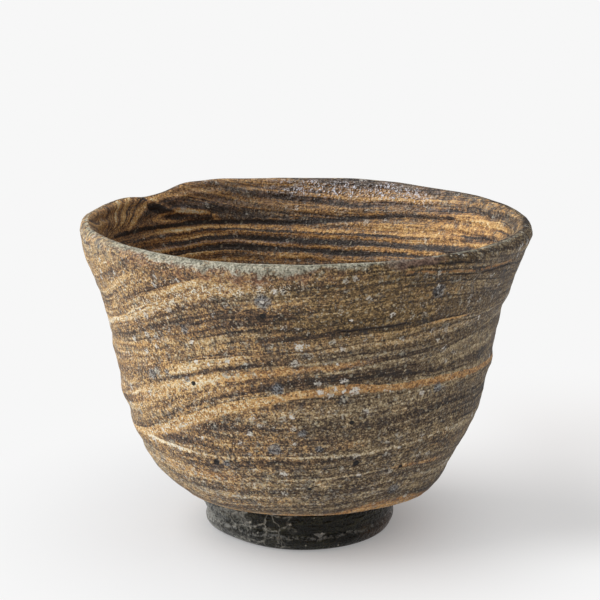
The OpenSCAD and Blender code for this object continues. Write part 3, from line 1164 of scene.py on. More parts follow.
    def _set_spots(self, colour: Socket) -> Socket:
        """Sets the larger blue and white specks and the pits in their places.

        Args:
            colour: the colour below.

        Returns:
            The colour with them.
        """
        graph, wave, sand, grain = self.graph, self.fine_wave, self.sand, self.grain
        blue = self._nearest("blue") + wave * 0.18 + sand * 0.16
        blue_paint = graph.mix((grain * 3 + 0.4).rise(0.0, 1.0), Tint.BLUE_DARK.value, Tint.BLUE_PALE.value)
        colour = graph.mix(blue.fall(0.6, 1.1) * 0.7, colour, blue_paint)
        white = self._nearest("white") + sand * 0.25 + wave * 0.2
        white_mask = (white * 1.15 + 0.1 + grain * 1.6).fall(0.45, 0.85)
        colour = graph.mix(white_mask * 0.95, colour, Tint.WHITE.value)
        self.pit = (self._nearest("pit") + wave * 0.2 + sand * 0.16).fall(0.6, 1.0)
        return graph.mix(self.pit, colour, Tint.PIT.value)

    def _nearest(self, kind: str) -> Value:
        """Measures from the nearest spot.

        Args:
            kind: which spots.

        Returns:
            The distance, in radii of that spot.
        """
        result = None
        for spot, middle in self.spots[kind]:
            span = Value(self.graph, self.graph.vector("DISTANCE", self.place, tuple(middle), output=1))
            away = span / spot.radius
            result = away if result is None else result.least(away)
        return result

    def _crack(self, colour: Socket) -> Socket:
        """Draws the two cracks at the right, and the pale lip above the longer one.

        Args:
            colour: the colour below.

        Returns:
            The colour with them.
        """
        graph, mottle, sand = self.graph, self.mottle, self.sand
        crack = graph.attribute("crack") + self.fine_wave * 0.08 + sand * 0.03
        long_mask = abs(crack).fall(0.04, 0.2) * (mottle + 0.6).rise(0.0, 0.5)
        short_mask = abs(graph.attribute("short_crack") + self.fine_wave * 0.1).fall(0.04, 0.22)
        self.cracks = long_mask + short_mask
        colour = graph.mix(self.cracks * 0.9 * self.outer_side, colour, Tint.SOOT.value)
        lip_line = abs(crack - 0.5 + sand * 0.06).fall(0.06, 0.3) * self.outer_side
        lip_line = lip_line * (mottle + sand + 0.6).rise(0.0, 0.6)
        return graph.mix(lip_line * 0.55, colour, Tint.ORANGE.value)

    def _melt_ash(self, colour: Socket) -> Socket:
        """Melts ash over the rim, with the rust that bleeds from it, dark beads in it and a painted highlight
        along its crest.

        Args:
            colour: the colour below.

        Returns:
            The colour with them.
        """
        graph, past, wave, grain, clump = self.graph, self.past, self.fine_wave, self.grain, self.clump
        mottle, outer_side = self.mottle, self.outer_side
        drop = 0 - past
        reach = self._side(Side.THICK_ASH) * 0.6 + 1.15 + wave * 0.3 + mottle * 0.75
        reach = reach + self.broad_wave * 0.6 + grain
        ash_side = self._side(Side.ASH)
        self.ash = (drop - reach).fall(-0.3, 0.5) * past.fall(0.4, 2.0) * ash_side
        # The crest's pale line: ash, lightened by a painted highlight along the rounded crest.
        pale_ash_and_highlight_on_crest = abs(past - 0.1).fall(0.05, 0.5)
        ash_tone = 0.49 + clump * 0.2 + wave * 0.12 + grain * 0.9 + pale_ash_and_highlight_on_crest * 0.34
        ash_colour = graph.ramp(ash_tone - drop.fall(0.3, 1.2) * 0.08, ASH_STOPS)
        rust = (drop - reach - 0.9 + grain + clump * 0.5 - mottle).fall(0.0, 2.0) * outer_side
        rust = rust * self._side(Side.RUST) * (clump * 0.4 + mottle * 0.5 + wave * 0.4 + 0.4)
        rusty = (grain * 1.6 + self.left * 0.3 + 0.35).rise(0.0, 1.0)
        colour = graph.mix(rust, colour, graph.mix(rusty, Tint.RUST_DARK.value, Tint.RUST_PALE.value))
        flattened = graph.vector("MULTIPLY", self.place, (1.0, 1.0, 2.2))
        rift, _ = graph.cells(flattened, 0.7, "DISTANCE_TO_EDGE")
        rift_mask = (rift + wave * 0.04).fall(0.0, 0.05) * (mottle + 0.3).rise(0.0, 0.8)
        colour = graph.mix(self.ash * (0.92 - rift_mask * 0.5), colour, ash_colour)
        beads = (clump * 0.9 + self.sand * 0.5 - abs(drop - reach - 0.7) * 0.5).rise(0.3, 0.8) * outer_side
        beads = beads * (self._side(Side.BEADS) * 0.7 + 0.25) * ash_side
        colour = graph.mix(beads, colour, Tint.BEAD.value)
        patch = self._side(Side.FAR_LEFT) * (drop + mottle).fall(2.5, 5.5) * outer_side
        patch = patch * (mottle * 0.6 + wave * 0.5 + 0.35)
        patchy = (clump * 1.2 + grain * 2 + 0.5).rise(0.0, 1.0)
        colour = graph.mix(patch, colour, graph.mix(patchy, Tint.PATCH_GREY.value, Tint.PATCH_CREAM.value))
        plum = (drop - 1.6 + wave * 0.5).fall(-0.2, 0.4) * self._side(Side.PLUM) * outer_side
        plummy = (grain * 1.6 + 0.5).rise(0.0, 1.0)
        colour = graph.mix(plum * 0.8, colour, graph.mix(plummy, Tint.PLUM_DARK.value, Tint.PLUM_PALE.value))
        # The crest line in the ash colour, with its painted highlight.
        crest = abs(past + 0.2 + wave * 0.25).fall(0.05, 0.45)
        crest = crest * (self._side(Side.CREST_RIGHT) + self._side(Side.CREST_LEFT))
        return graph.mix(crest * (mottle + wave + 0.5).rise(-0.2, 0.9) * 0.8, colour, ash_colour)

    def _wet_with_painted_glints(self, colour: Socket) -> Socket:
        """Adds the glossy melt inside the back of the rim, with painted glints and a painted sheen on it, and
        a painted gleam along one layer.

        Args:
            colour: the colour below.

        Returns:
            The colour with them.
        """
        graph, past, sand, mottle, clump = self.graph, self.past, self.sand, self.mottle, self.clump
        self.wet = self._side(Side.WET) * abs(past - 2.6 + mottle * 0.9).fall(0.8, 2.0)
        # Painted glints: bright bluish-white specks that stand in for light caught on the glossy melt.
        painted_glints = self.wet * (sand * 0.8 + self.dust * 0.8 + clump * 0.6).rise(0.2, 0.8)
        # Painted sheen: a violet-grey haze of reflected light inside the back of the rim.
        painted_sheen = abs(past - 3.0).fall(1.5, 4.0) * self._side(Side.PAINTED_SHEEN)
        painted_sheen = painted_sheen * (sand + mottle + clump * 0.5).rise(-0.4, 1.2)
        colour = graph.mix(painted_sheen * 0.4, colour, Tint.PAINTED_SHEEN.value)
        colour = graph.mix(painted_glints * 0.9, colour, Tint.PAINTED_GLINT.value)
        # Painted gleam: a pale violet highlight along one inner layer.
        gleam = abs(self.within - 42.3 + self.fine_wave * 0.1).fall(0.05, 0.25)
        gleam = gleam * self._side(Side.INNER_PAINTED_GLEAM) * self.inner
        return graph.mix(gleam * (sand * 0.3 + mottle * 0.2 + 0.4), colour, Tint.PAINTED_GLEAM.value)


@dataclass(frozen=True)
class FootGlaze:
    """Dark ash glaze, half glossy and crackled, over the foot ring, with a frosty bloom and a painted sheen
    on its left.
    """

    roughness: float = 0.3
    specular: float = 0.26
    web_from: float = -14.5
    web_to: float = -1.0
    line_z: float = 2.7
    shadow_z: float = 2.0
    chip_x: float = 2.4
    chip_low_z: float = 2.4
    chip_high_z: float = 3.3

    def build(self) -> bpy.types.Material:
        """Makes the material."""
        graph = Graph(bpy.data.materials.new("dark_foot_glaze"))
        place = graph.millimetres()
        x, y, z = graph.split(place)
        wave = graph.noise(place, 0.25)
        fine = graph.noise(place, 1.4)
        tiny = graph.noise(place, 2.6, 1.0)
        streaks = graph.noise(graph.vector("MULTIPLY", place, (0.2, 0.2, 1.6)), 1.0, 3.0)
        dark, olive = Tint.GLAZE_DARK.value, Tint.GLAZE_OLIVE.value
        colour = graph.mix((streaks + fine * 0.4 + tiny * 0.4).rise(-0.3, 1.2), dark, olive)
        # Frosty bloom with a painted sheen, strongest on the lit left.
        left = (0 - x + wave * 3).rise(5.0, 17.0)
        bloom_and_sheen = (wave * 0.5 + fine * 0.6 + tiny * 0.4 + left * 1.2).rise(0.4, 1.6)
        colour = graph.mix(bloom_and_sheen * (left * 0.6 + 0.17), colour, Tint.GLAZE_BLOOM_AND_SHEEN.value)

        front = (0 - y).rise(2.0, 6.0)
        warped = graph.vector("ADD", place, graph.join(wave * 1.2, fine * 0.5, wave * 0.8))
        crackle, _ = graph.cells(warped, 0.42, "DISTANCE_TO_EDGE")
        across = x + wave * 2
        web = across.rise(self.web_from, self.web_from + 3.5) * across.fall(self.web_to - 3.0, self.web_to)
        web = web * front * (crackle + tiny * 0.03).fall(0.0, 0.11)
        web = web * (fine * 0.5 + tiny * 0.2).rise(-0.6, 0.4)
        colour = graph.mix(web * (0.75 + tiny * 0.2), colour, Tint.CRACKLE.value)

        line = abs(z - self.line_z + wave * 0.5).fall(0.1, 0.4) * (fine + tiny * 0.6 + 0.4).rise(-0.2, 0.9)
        colour = graph.mix(line * 0.55, colour, Tint.GLAZE_LINE.value)
        shadow = abs(z - self.shadow_z + wave * 0.5).fall(0.1, 0.5)
        colour = graph.mix(shadow * 0.6, colour, dark)
        right = (x + wave * 4).rise(8.0, 15.0) * z.fall(1.5, 5.0)
        colour = graph.mix(right * 0.7, colour, Tint.GLAZE_BROWN.value)
        chip = ((z - self.chip_low_z) - abs(x - self.chip_x) * 0.9 + fine * 0.1).rise(0.0, 0.2)
        chip = chip * (z + fine * 0.1).fall(self.chip_high_z, self.chip_high_z + 0.3) * front
        colour = graph.mix(chip * 0.7, colour, Tint.GLAZE_CHIP.value)
        bottom = (z + fine * 0.2).fall(0.1, 0.5)
        colour = graph.mix(bottom * 0.8, colour, Tint.GLAZE_BROWN.value)

        far, speck_colour = graph.cells(place, 0.75)
        chance, size, _ = graph.channels(speck_colour)
        speck = (far + tiny * 0.06 - size * 0.12).fall(0.03, 0.16) * chance.fall(0.16, 0.2)
        colour = graph.mix(speck * 0.85, colour, Tint.CRACKLE.value)
        rough = self.roughness + fine * 0.1 + bottom * 0.3 + web * 0.1
        height = streaks * 0.2 + fine * 0.16 + tiny * 0.08 + speck * 0.06 + web * 0.08
        return graph.finish(
            {"Specular IOR Level": self.specular},
            {"Base Color": colour, "Roughness": rough, "Normal": graph.bump(height)})


@dataclass(frozen=True)
class DriedSlip:
    """Coarse brown slip, wiped on wet and fired bare."""

    roughness: float = 0.85
    specular: float = 0.35

    def build(self) -> bpy.types.Material:
        """Makes the material."""
        graph = Graph(bpy.data.materials.new("dried_slip"))
        place = graph.millimetres()
        sand = graph.noise(place, 2.4, 3.0, 0.6)
        smear = graph.noise(graph.vector("MULTIPLY", place, (0.35, 0.35, 1.5)), 1.0)
        smeared = (smear + sand * 0.4).rise(-0.6, 0.7)
        colour = graph.mix(smeared, Tint.SLIP_DARK.value, Tint.SLIP_PALE.value)
        colour = graph.mix(sand.rise(0.2, 0.9) * 0.6, colour, Tint.SLIP_GRAIN.value)
        height = sand * 0.06 + smear * 0.08
        return graph.finish(
            {"Specular IOR Level": self.specular},
            {"Base Color": colour, "Roughness": self.roughness + sand * 0.1, "Normal": graph.bump(height)})


@dataclass(frozen=True)
class Swell:
    """A place where the wall was left thicker, or thinner, by the hand that formed it."""

    bearing: float
    half_angle: float
    height: float
    half_height: float
    size: float

    def relief(self, bearing: np.ndarray, height: np.ndarray) -> np.ndarray:
        """How far the wall stands out here, in millimetres."""
        up = bulge(height - self.height, self.half_height)
        return swelling(bearing, self.bearing, self.half_angle) * up * self.size


WALL_SWELLS = (
    Swell(184, 32, 48.6, 2.9, 0.62), Swell(184, 24, 33.2, 1.1, 0.28), Swell(186, 26, 25.2, 1.7, 0.5),
    Swell(188, 28, 19.2, 2.0, 0.75), Swell(192, 26, 12.8, 1.5, 0.42), Swell(204, 30, 9.4, 1.2, -0.35),
    Swell(356, 30, 40.2, 1.4, -0.25), Swell(354, 30, 30.4, 1.3, 0.32), Swell(354, 34, 21.5, 6.0, 0.34),
    Swell(345, 34, 10.2, 2.3, 0.78), Swell(325, 26, 8.6, 1.2, 0.15), Swell(188, 26, 15.4, 1.5, 0.5),
)

HAND_LUMPS = (Lumps((16.0, 16.0, 11.0), 0.35, 3.1), Lumps((7.0, 7.0, 4.0), 0.16, 8.7))
WIPED_RIDGES = (Lumps((15.0, 15.0, 1.5), 0.12, 5.2), Lumps((9.0, 9.0, 0.9), 0.06, 1.9))
GRIT = Lumps((1.5, 1.5, 1.3), 0.07, 2.4)
RING_WANDER = Lumps((12.0, 12.0, 9.0), 2.5, 6.6)
RIM_WAVES = Lumps((0.16, 0.16, 1.0), 0.16, 4.4)
FOOT_WAVES = (Lumps((9.0, 9.0, 2.5), 0.22, 7.3), Lumps((2.2, 2.2, 1.0), 0.08, 1.4))
FOOT_SAG = Lumps((6.0, 6.0, 6.0), 0.12, 9.9)
SLIP_LUMPS = Lumps((2.6, 2.6, 2.0), 0.16, 5.8)

# Bearing, half angle and size of each rise or dip of the rim
RIM_LIFTS = (
    (114, 15, 0.45), (137, 8, -0.8), (143, 4.5, -0.3), (160, 13, -0.42), (127, 5, 0.32), (103, 9, -0.2),
    (46, 15, -0.22),
)


@dataclass
class Bowl:
    """The cup's wall and floor, one skin from the middle of the underside to the middle of the floor."""

    underside_z: float = 7.2
    underside_r: float = 18.6
    cup_h: float = 54.0
    lip_r: float = 37.9
    lean: float = 0.6
    lip_t: float = 2.8
    wall_t: float = 3.4
    heel_t: float = 4.6
    floor_t: float = 3.2
    floor_power: int = 4
    around: int = 470
    station_steps: int = 12
    floor_steps: int = 16
    corner_round: float = 0.35
    heel_end_share: float = 0.3
    lip_start_share: float = 0.7
    # Distances between rings on each stretch of the outline. The upper one ends at fine_above.
    base_step: float = 1.6
    wall_step: float = 0.52
    upper_step: float = 0.55
    lower_step: float = 1.0
    floor_step: float = 1.3
    fine_above: float = 38.0
    # Relief fades in over skin_fade from the crest, and above the trimmed edge
    skin_fade: float = 1.5
    trim_top: float = 7.6
    trim_fade: float = 1.2
    # Throwing rings up the inner wall and on the floor
    ring_pitch: float = 2.1
    ring_height: float = 0.2
    floor_ring_pitch: float = 3.4
    floor_ring_height: float = 0.1
    rings_above: float = 30.0
    rings_fade: float = 8.0
    # The groove of the last coil and the folds beside the notch
    groove_half_width: float = 0.55
    groove_depth: float = 0.45
    fold_half_width: float = 0.6
    fold_height: float = 0.6
    dent_below: float = 1.3
    dent_half_width: float = 0.7
    dent_depth: float = 0.5
    second_half_width: float = 0.5
    second_height: float = 0.3
    # The notch, the dip and the lobes of the mouth
    notch: Point = (137, 8)
    press_depth: float = 0.7
    dip: Point = (0, 36)
    dip_depth: float = 0.5
    lobe_count: int = 3
    lobe_bearing: float = 20
    lobe_depth: float = 0.2
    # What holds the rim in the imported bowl's box: the room left at its sides and top, and a soft approach
    side_clearance: float = 0.02
    side_softness: float = 0.5
    top_clearance: float = 0.01
    # Skin that leans out by more than this share faces out of the wall and can carry a spot
    wall_faces_out: float = 0.2

    # The outer wall's stations, as shares of the widening and of the rise
    shares: tuple[Point, ...] = (
        (0, 0), (0.195, 0.045), (0.385, 0.15), (0.555, 0.305), (0.665, 0.48), (0.735, 0.655), (0.84, 0.81),
        (1, 1))

    def __post_init__(self) -> None:
        """Works out the lip's middle."""
        self.lip_round = self.lip_t / 2
        self.lip_mid_r = self.lip_r - self.lip_round
        self.lip_mid_z = self.cup_h - self.lip_round

    def _rise(self, height: np.ndarray | float) -> np.ndarray:
        """Share of the rise from the underside to the lip."""
        return (np.asarray(height) - self.underside_z) / (self.lip_mid_z - self.underside_z)

    def _wall_line(self) -> np.ndarray:
        """Draws the outer wall's line through its stations."""
        wide, tall = self.lip_r - self.underside_r, self.lip_mid_z - self.underside_z
        stations = [(self.underside_r + wide * share, self.underside_z + tall * up)
                    for share, up in self.shares]
        return np.array(Outline.through(stations, self.station_steps))

    def _outline(self) -> tuple[list[Point], int, int]:
        """Draws half of the bowl's section.

        Returns:
            The points from the underside's middle to the floor's middle, and the first and last
            of those on the lip.
        """
        outer = self._wall_line()
        slope = np.gradient(outer, axis=0)
        slope /= np.linalg.norm(slope, axis=1)[:, None]
        share = self._rise(outer[:, 1])
        thick = self.heel_t + (self.wall_t - self.heel_t) * ease(share / self.heel_end_share)
        near_lip = (share - self.lip_start_share) / (1 - self.lip_start_share)
        thick = thick + (self.lip_t - self.wall_t) * ease(near_lip)
        inner = outer + thick[:, None] * np.stack([-slope[:, 1], slope[:, 0]], axis=1)
        floor_z = self.underside_z + self.floor_t
        edge = inner[0]
        parts = [k / self.floor_steps for k in range(self.floor_steps - 1, -1, -1)]
        floor = [(edge[0] * part, floor_z + (edge[1] - floor_z) * part**self.floor_power) for part in parts]
        base_end = self.underside_r - 1.2
        base = Outline.spaced([(0.0, self.underside_z), (base_end, self.underside_z)], self.base_step)
        corner_mid = (self.underside_r - self.corner_round, self.underside_z + self.corner_round)
        corner = Outline.arc(corner_mid, (self.corner_round, self.corner_round), -90, -10, 4)
        wall = [place for place in map(tuple, outer.tolist()) if place[1] > self.underside_z + 0.5]
        wall = Outline.spaced([corner[-1], *wall], self.wall_step)
        lip = Outline.arc((self.lip_mid_r, self.lip_mid_z), (self.lip_round, self.lip_round), 0, 180, 10)
        inside = list(map(tuple, inner[::-1].tolist()))
        upper = [place for place in inside if place[1] > self.fine_above]
        lower = [place for place in inside if place[1] <= self.fine_above]
        upper = Outline.spaced([lip[-1], *upper[1:], lower[0]], self.upper_step)
        lower = Outline.spaced(lower, self.lower_step)
        floor = Outline.spaced([lower[-1], *floor], self.floor_step)
        outline = base + corner[:-1] + wall
        first = len(outline) - 1
        outline += lip[1:]
        last = len(outline) - 1
        outline += upper[1:] + lower[1:] + floor[1:]
        return outline, first, last

    def _relief(self, skin: Turned, crest_run: float, strata: Strata) -> np.ndarray:
        """How far the hand-formed skin stands out of the plain section.

        Args:
            skin: the plain bowl.
            crest_run: the crest's place along the outline.
            strata: the clay's layers.

        Returns:
            The relief of each point in millimetres.
        """
        bearing, height, past = skin.bearing, skin.height, skin.run - crest_run
        outside = ease(-past / self.skin_fade) * ease((height - self.trim_top) / self.trim_fade)
        inside = ease(past / self.skin_fade) * ease((skin.radius - 3.0) / 8.0)
        soft = sum(lumps.relief(skin.points) for lumps in HAND_LUMPS)
        ridges = sum(lumps.relief(skin.points) for lumps in WIPED_RIDGES)
        grit = GRIT.relief(skin.points)
        outer = soft + ridges + grit + sum(swell.relief(bearing, height) for swell in WALL_SWELLS)
        turns = strata.inner_tilt.height_at(bearing, strata.blur)
        phase = (height - turns) * math.tau / self.ring_pitch + RING_WANDER.relief(skin.points)
        over_groove, over_fold, over_second = (
            line.above(bearing, height) for line in (strata.groove, strata.fold, strata.second_fold))
        upper = np.sin(phase) * self.ring_height
        upper = upper - bulge(over_groove, self.groove_half_width) * self.groove_depth
        upper = upper + bulge(over_fold, self.fold_half_width) * self.fold_height
        upper = upper - bulge(over_fold + self.dent_below, self.dent_half_width) * self.dent_depth
        upper = upper + bulge(over_second, self.second_half_width) * self.second_height
        upper = upper * ease((height - self.rings_above) / self.rings_fade)
        lower = np.sin(skin.run * math.tau / self.floor_ring_pitch) * (height < self.rings_above)
        inner = soft * 0.6 + ridges + grit * 0.8 + upper + lower * self.floor_ring_height
        return outer * outside + inner * inside

    def _hand_form(self, skin: Turned) -> np.ndarray:
        """Gives the rim its notch, shoulder, dip and lobes, and leans the cup.

        Args:
            skin: the bowl with its relief.

        Returns:
            The places of its points in millimetres.
        """
        bearing, height = skin.bearing, skin.height
        share = np.clip(self._rise(height), 0.0, 1.0)
        uneven = share**1.5
        near_lip = uneven**4
        notch = swelling(bearing, *self.notch)
        lifts = sum(swelling(bearing, middle, half) * size for middle, half, size in RIM_LIFTS)
        dip = swelling(bearing, *self.dip)
        turn = np.radians(bearing)
        lobes = self.lobe_depth * np.cos(self.lobe_count * (turn - math.radians(self.lobe_bearing)))
        pressed = uneven**2 * self.press_depth * notch
        radius = skin.radius + uneven * lobes * (skin.radius > AXIS_REACH) - pressed
        waves = RIM_WAVES.relief(np.stack([np.cos(turn), np.sin(turn), turn * 0], axis=1))
        lift = near_lip * (lifts + waves) - uneven * self.dip_depth * dip
        height = height + lift + self.joint_lift(bearing, skin.radius, height)
        share = np.clip(self._rise(height), 0.0, 1.0)
        across = radius * np.cos(turn)
        along = radius * np.sin(turn)
        return np.stack([across - (1 - share) * self.lean, along, height], axis=1)

    def joint_lift(self, bearing: np.ndarray, radius: np.ndarray, height: np.ndarray) -> np.ndarray:
        """How far the joint of bowl and foot waves up, most of all at the front."""
        wave = 0.38 * swelling(bearing, 270, 50) - 0.12 * swelling(bearing, 180, 40)
        return wave * ease((radius - 11.0) / 4.0) * ease((11.0 - height) / 4.0)

    def build(self, strata: Strata) -> Turned:
        """Spins and shapes the bowl.

        Args:
            strata: the clay's layers.

        Returns:
            The bowl's skin, with the layers stored on it.
        """
        outline, first, last = self._outline()
        skin = Turned("marbled_bowl", outline, self.around)
        line = np.array(outline)
        run = np.concatenate([[0.0], np.cumsum(np.linalg.norm(np.diff(line, axis=0), axis=1))])
        crest_run = float(run[(first + last) // 2])
        relief = self._relief(skin, crest_run, strata)
        skin.raise_skin(relief)
        points = self._hand_form(skin)
        self._hold_in_box(points)
        skin.place(points)
        skin.height = points[:, 2]
        strata.write(skin, crest_run, self.cup_h)
        return skin

    def _hold_in_box(self, points: np.ndarray) -> None:
        """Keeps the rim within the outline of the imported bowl.

        Args:
            points: the places of the bowl's points in millimetres, which are changed.
        """
        low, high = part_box("bowl")
        for axis in range(2):
            soft_start = min(-low[axis], high[axis]) / MM - self.side_clearance - self.side_softness
            size = np.abs(points[:, axis])
            over = np.maximum(0.0, size - soft_start)
            held = soft_start + self.side_softness * (1 - np.exp(-over / self.side_softness))
            points[:, axis] = np.where(size > soft_start, np.sign(points[:, axis]) * held, points[:, axis])
        points[:, 2] = np.minimum(points[:, 2], high[2] / MM - self.top_clearance)

    def dress(self, skin: Turned) -> None:
        """Gives the bowl its clay, with its spots where they are on the wall.

        Args:
            skin: the finished bowl.
        """
        outer = np.nonzero(skin.out_radius > self.wall_faces_out)[0]
        tree = kdtree.KDTree(len(outer))
        for index in outer:
            tree.insert(skin.points[index], int(index))
        tree.balance()
        line = self._wall_line()

        def on_wall(spot: Spot) -> Vector:
            """Finds where a spot lies on the outer wall.

            Args:
                spot: the spot.

            Returns:
                The place of the nearest point of the bowl, in millimetres.
            """
            radius = float(np.interp(spot.height, line[:, 1], line[:, 0]))
            turn = math.radians(spot.bearing)
            return tree.find((radius * math.cos(turn), radius * math.sin(turn), spot.height))[0]

        kinds = {"blue": BLUE_SPOTS, "white": WHITE_SPOTS, "pit": PITS}
        spots = {kind: [(spot, on_wall(spot)) for spot in group] for kind, group in kinds.items()}
        skin.piece.data.materials.append(MarbledClay(spots).build())
        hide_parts("bowl")
        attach(skin.piece, "root")


@dataclass
class FootRing:
    """The turned foot ring, glazed dark."""

    foot_r: float = 16.0
    tread_r: float = 13.8
    recess_r: float = 11.2
    foot_h: float = 6.8
    heel_h: float = 2.4
    groove_z: float = 3.1
    inner_round: float = 0.6
    # How far the heel is cut away at the front left, and pushed out at the left
    heel_cut: float = 0.55
    heel_push: float = 1.05
    groove_half_width: float = 0.45
    groove_depth: float = 0.28
    groove_wave: float = 0.35
    # The ring stands out at the left, and a burr of glaze on each side
    left_swell: float = 0.95
    burr_z: float = 5.2
    burr_half_height: float = 0.5
    burr_size: float = 0.5
    lean: float = 0.6
    around: int = 320

    def _outline(self) -> list[Point]:
        """The closed section, from the tread's inner edge round the outside."""
        inner = Outline.arc((self.recess_r + self.inner_round, self.inner_round),
                            (self.inner_round, self.inner_round), 180, 270, 5)
        heel = Outline.arc((self.tread_r, self.heel_h), (self.foot_r - self.tread_r, self.heel_h), -90, 0, 12)
        tread = Outline.spaced([inner[-1], heel[0]], 0.5)
        wall = Outline.spaced([heel[-1], (self.foot_r, self.foot_h)], 0.3)
        top = Outline.spaced([wall[-1], (self.recess_r, self.foot_h)], 0.8)
        back = Outline.spaced([top[-1], inner[0]], 0.6)
        return inner[:-1] + tread[:-1] + heel[:-1] + wall[:-1] + top[:-1] + back

    def build(self, bowl: Bowl) -> Turned:
        """Spins and shapes the foot ring.

        Args:
            bowl: the bowl that it carries, which gives the joint's waves.

        Returns:
            The foot ring's skin.
        """
        skin = Turned("glazed_foot_ring", self._outline(), self.around)
        bearing, height, places = skin.bearing, skin.height, skin.points
        wall = ease((height - 0.3) / 1.0) * ease((self.foot_h - 0.2 - height) / 0.6)
        outside = ease((skin.radius - 13.0) / 1.5)
        waves = sum(lumps.relief(places) for lumps in FOOT_WAVES)
        groove_z = self.groove_z + self.groove_wave * np.sin(np.radians(bearing * 2 + 40))
        groove = bulge(height - groove_z, self.groove_half_width) * -self.groove_depth
        burrs = swelling(bearing, 189, 2.6) + swelling(bearing, 351, 2.2)
        burrs = burrs * bulge(height - self.burr_z, self.burr_half_height) * self.burr_size
        wide = swelling(bearing, 188, 30) * self.left_swell + burrs
        relief = (waves - 0.12 + (groove + wide * ease((height - 1.4) / 3.0)) * outside) * wall
        skin.raise_skin(relief)
        sag = FOOT_SAG.relief(places) * ease((height - 1.5) / 2) * ease((6.0 - height) / 2)
        height = skin.height + sag
        lift = bowl.joint_lift(bearing, np.full_like(bearing, 16.0), height)
        height = height + lift * ease((height - 4.5) / 2.3)
        turn = np.radians(bearing)
        cut = swelling(bearing, 222, 32) * ease((3.0 - height) / 2.8) * ease((skin.radius - 12.2) / 1.2)
        push = swelling(bearing, 183, 24) * ease((3.6 - height) / 2.4) * ease((skin.radius - 12.2) / 1.6)
        radius = skin.radius - cut * self.heel_cut + push * self.heel_push
        skin.place(np.stack([radius * np.cos(turn) - self.lean, radius * np.sin(turn), height], axis=1))
        return skin

    def dress(self, skin: Turned) -> None:
        """Gives the foot ring its glaze.

        Args:
            skin: the finished foot ring.
        """
        skin.piece.data.materials.append(FootGlaze().build())
        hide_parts("foot_ring")
        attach(skin.piece, "root")


@dataclass
class LutingSlip:
    """The thin layer of slip between bowl and foot ring, squeezed out at both sides."""

    foot_r: float = 16.0
    recess_r: float = 11.2
    squeeze: float = 0.3
    low_z: float = 6.8
    high_z: float = 7.2
    lean: float = 0.6
    around: int = 320

    def _outline(self) -> list[Point]:
        """The closed section, with a round bead at each side."""
        bead = (self.high_z - self.low_z) / 2
        middle_z = self.low_z + bead
        outer = Outline.arc((self.foot_r + self.squeeze - bead, middle_z), (bead, bead), -90, 90, 8)
        inner = Outline.arc((self.recess_r - self.squeeze + bead, middle_z), (bead, bead), 90, 270, 8)
        lower = Outline.spaced([inner[-1], outer[0]], 0.9)
        upper = Outline.spaced([outer[-1], inner[0]], 0.9)
        return outer[:-1] + upper[:-1] + inner[:-1] + lower

    def build(self, bowl: Bowl) -> Turned:
        """Spins and shapes the slip.

        Args:
            bowl: the bowl that it carries, which gives the joint's waves.

        Returns:
            The slip's skin.
        """
        skin = Turned("luting_slip_bead", self._outline(), self.around)
        bearing, places = skin.bearing, skin.points
        from_middle = skin.radius - (self.foot_r + self.recess_r) / 2
        beads = np.abs(from_middle) > 2.3
        uneven = SLIP_LUMPS.relief(places) - 0.08
        skin.radius = skin.radius + uneven * beads * np.sign(from_middle)
        lift = bowl.joint_lift(bearing, np.maximum(skin.radius, 11.0), np.full_like(bearing, 6.9))
        lift = np.where(skin.radius < 15.0, bowl.joint_lift(bearing, skin.radius, skin.height), lift)
        turn, radius = np.radians(bearing), skin.radius
        across = radius * np.cos(turn) - self.lean
        skin.place(np.stack([across, radius * np.sin(turn), skin.height + lift], axis=1))
        return skin

    def dress(self, skin: Turned) -> None:
        """Gives the slip its finish.

        Args:
            skin: the finished slip.
        """
        skin.piece.data.materials.append(DriedSlip().build())
        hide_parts("luting_slip")
        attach(skin.piece, "root")


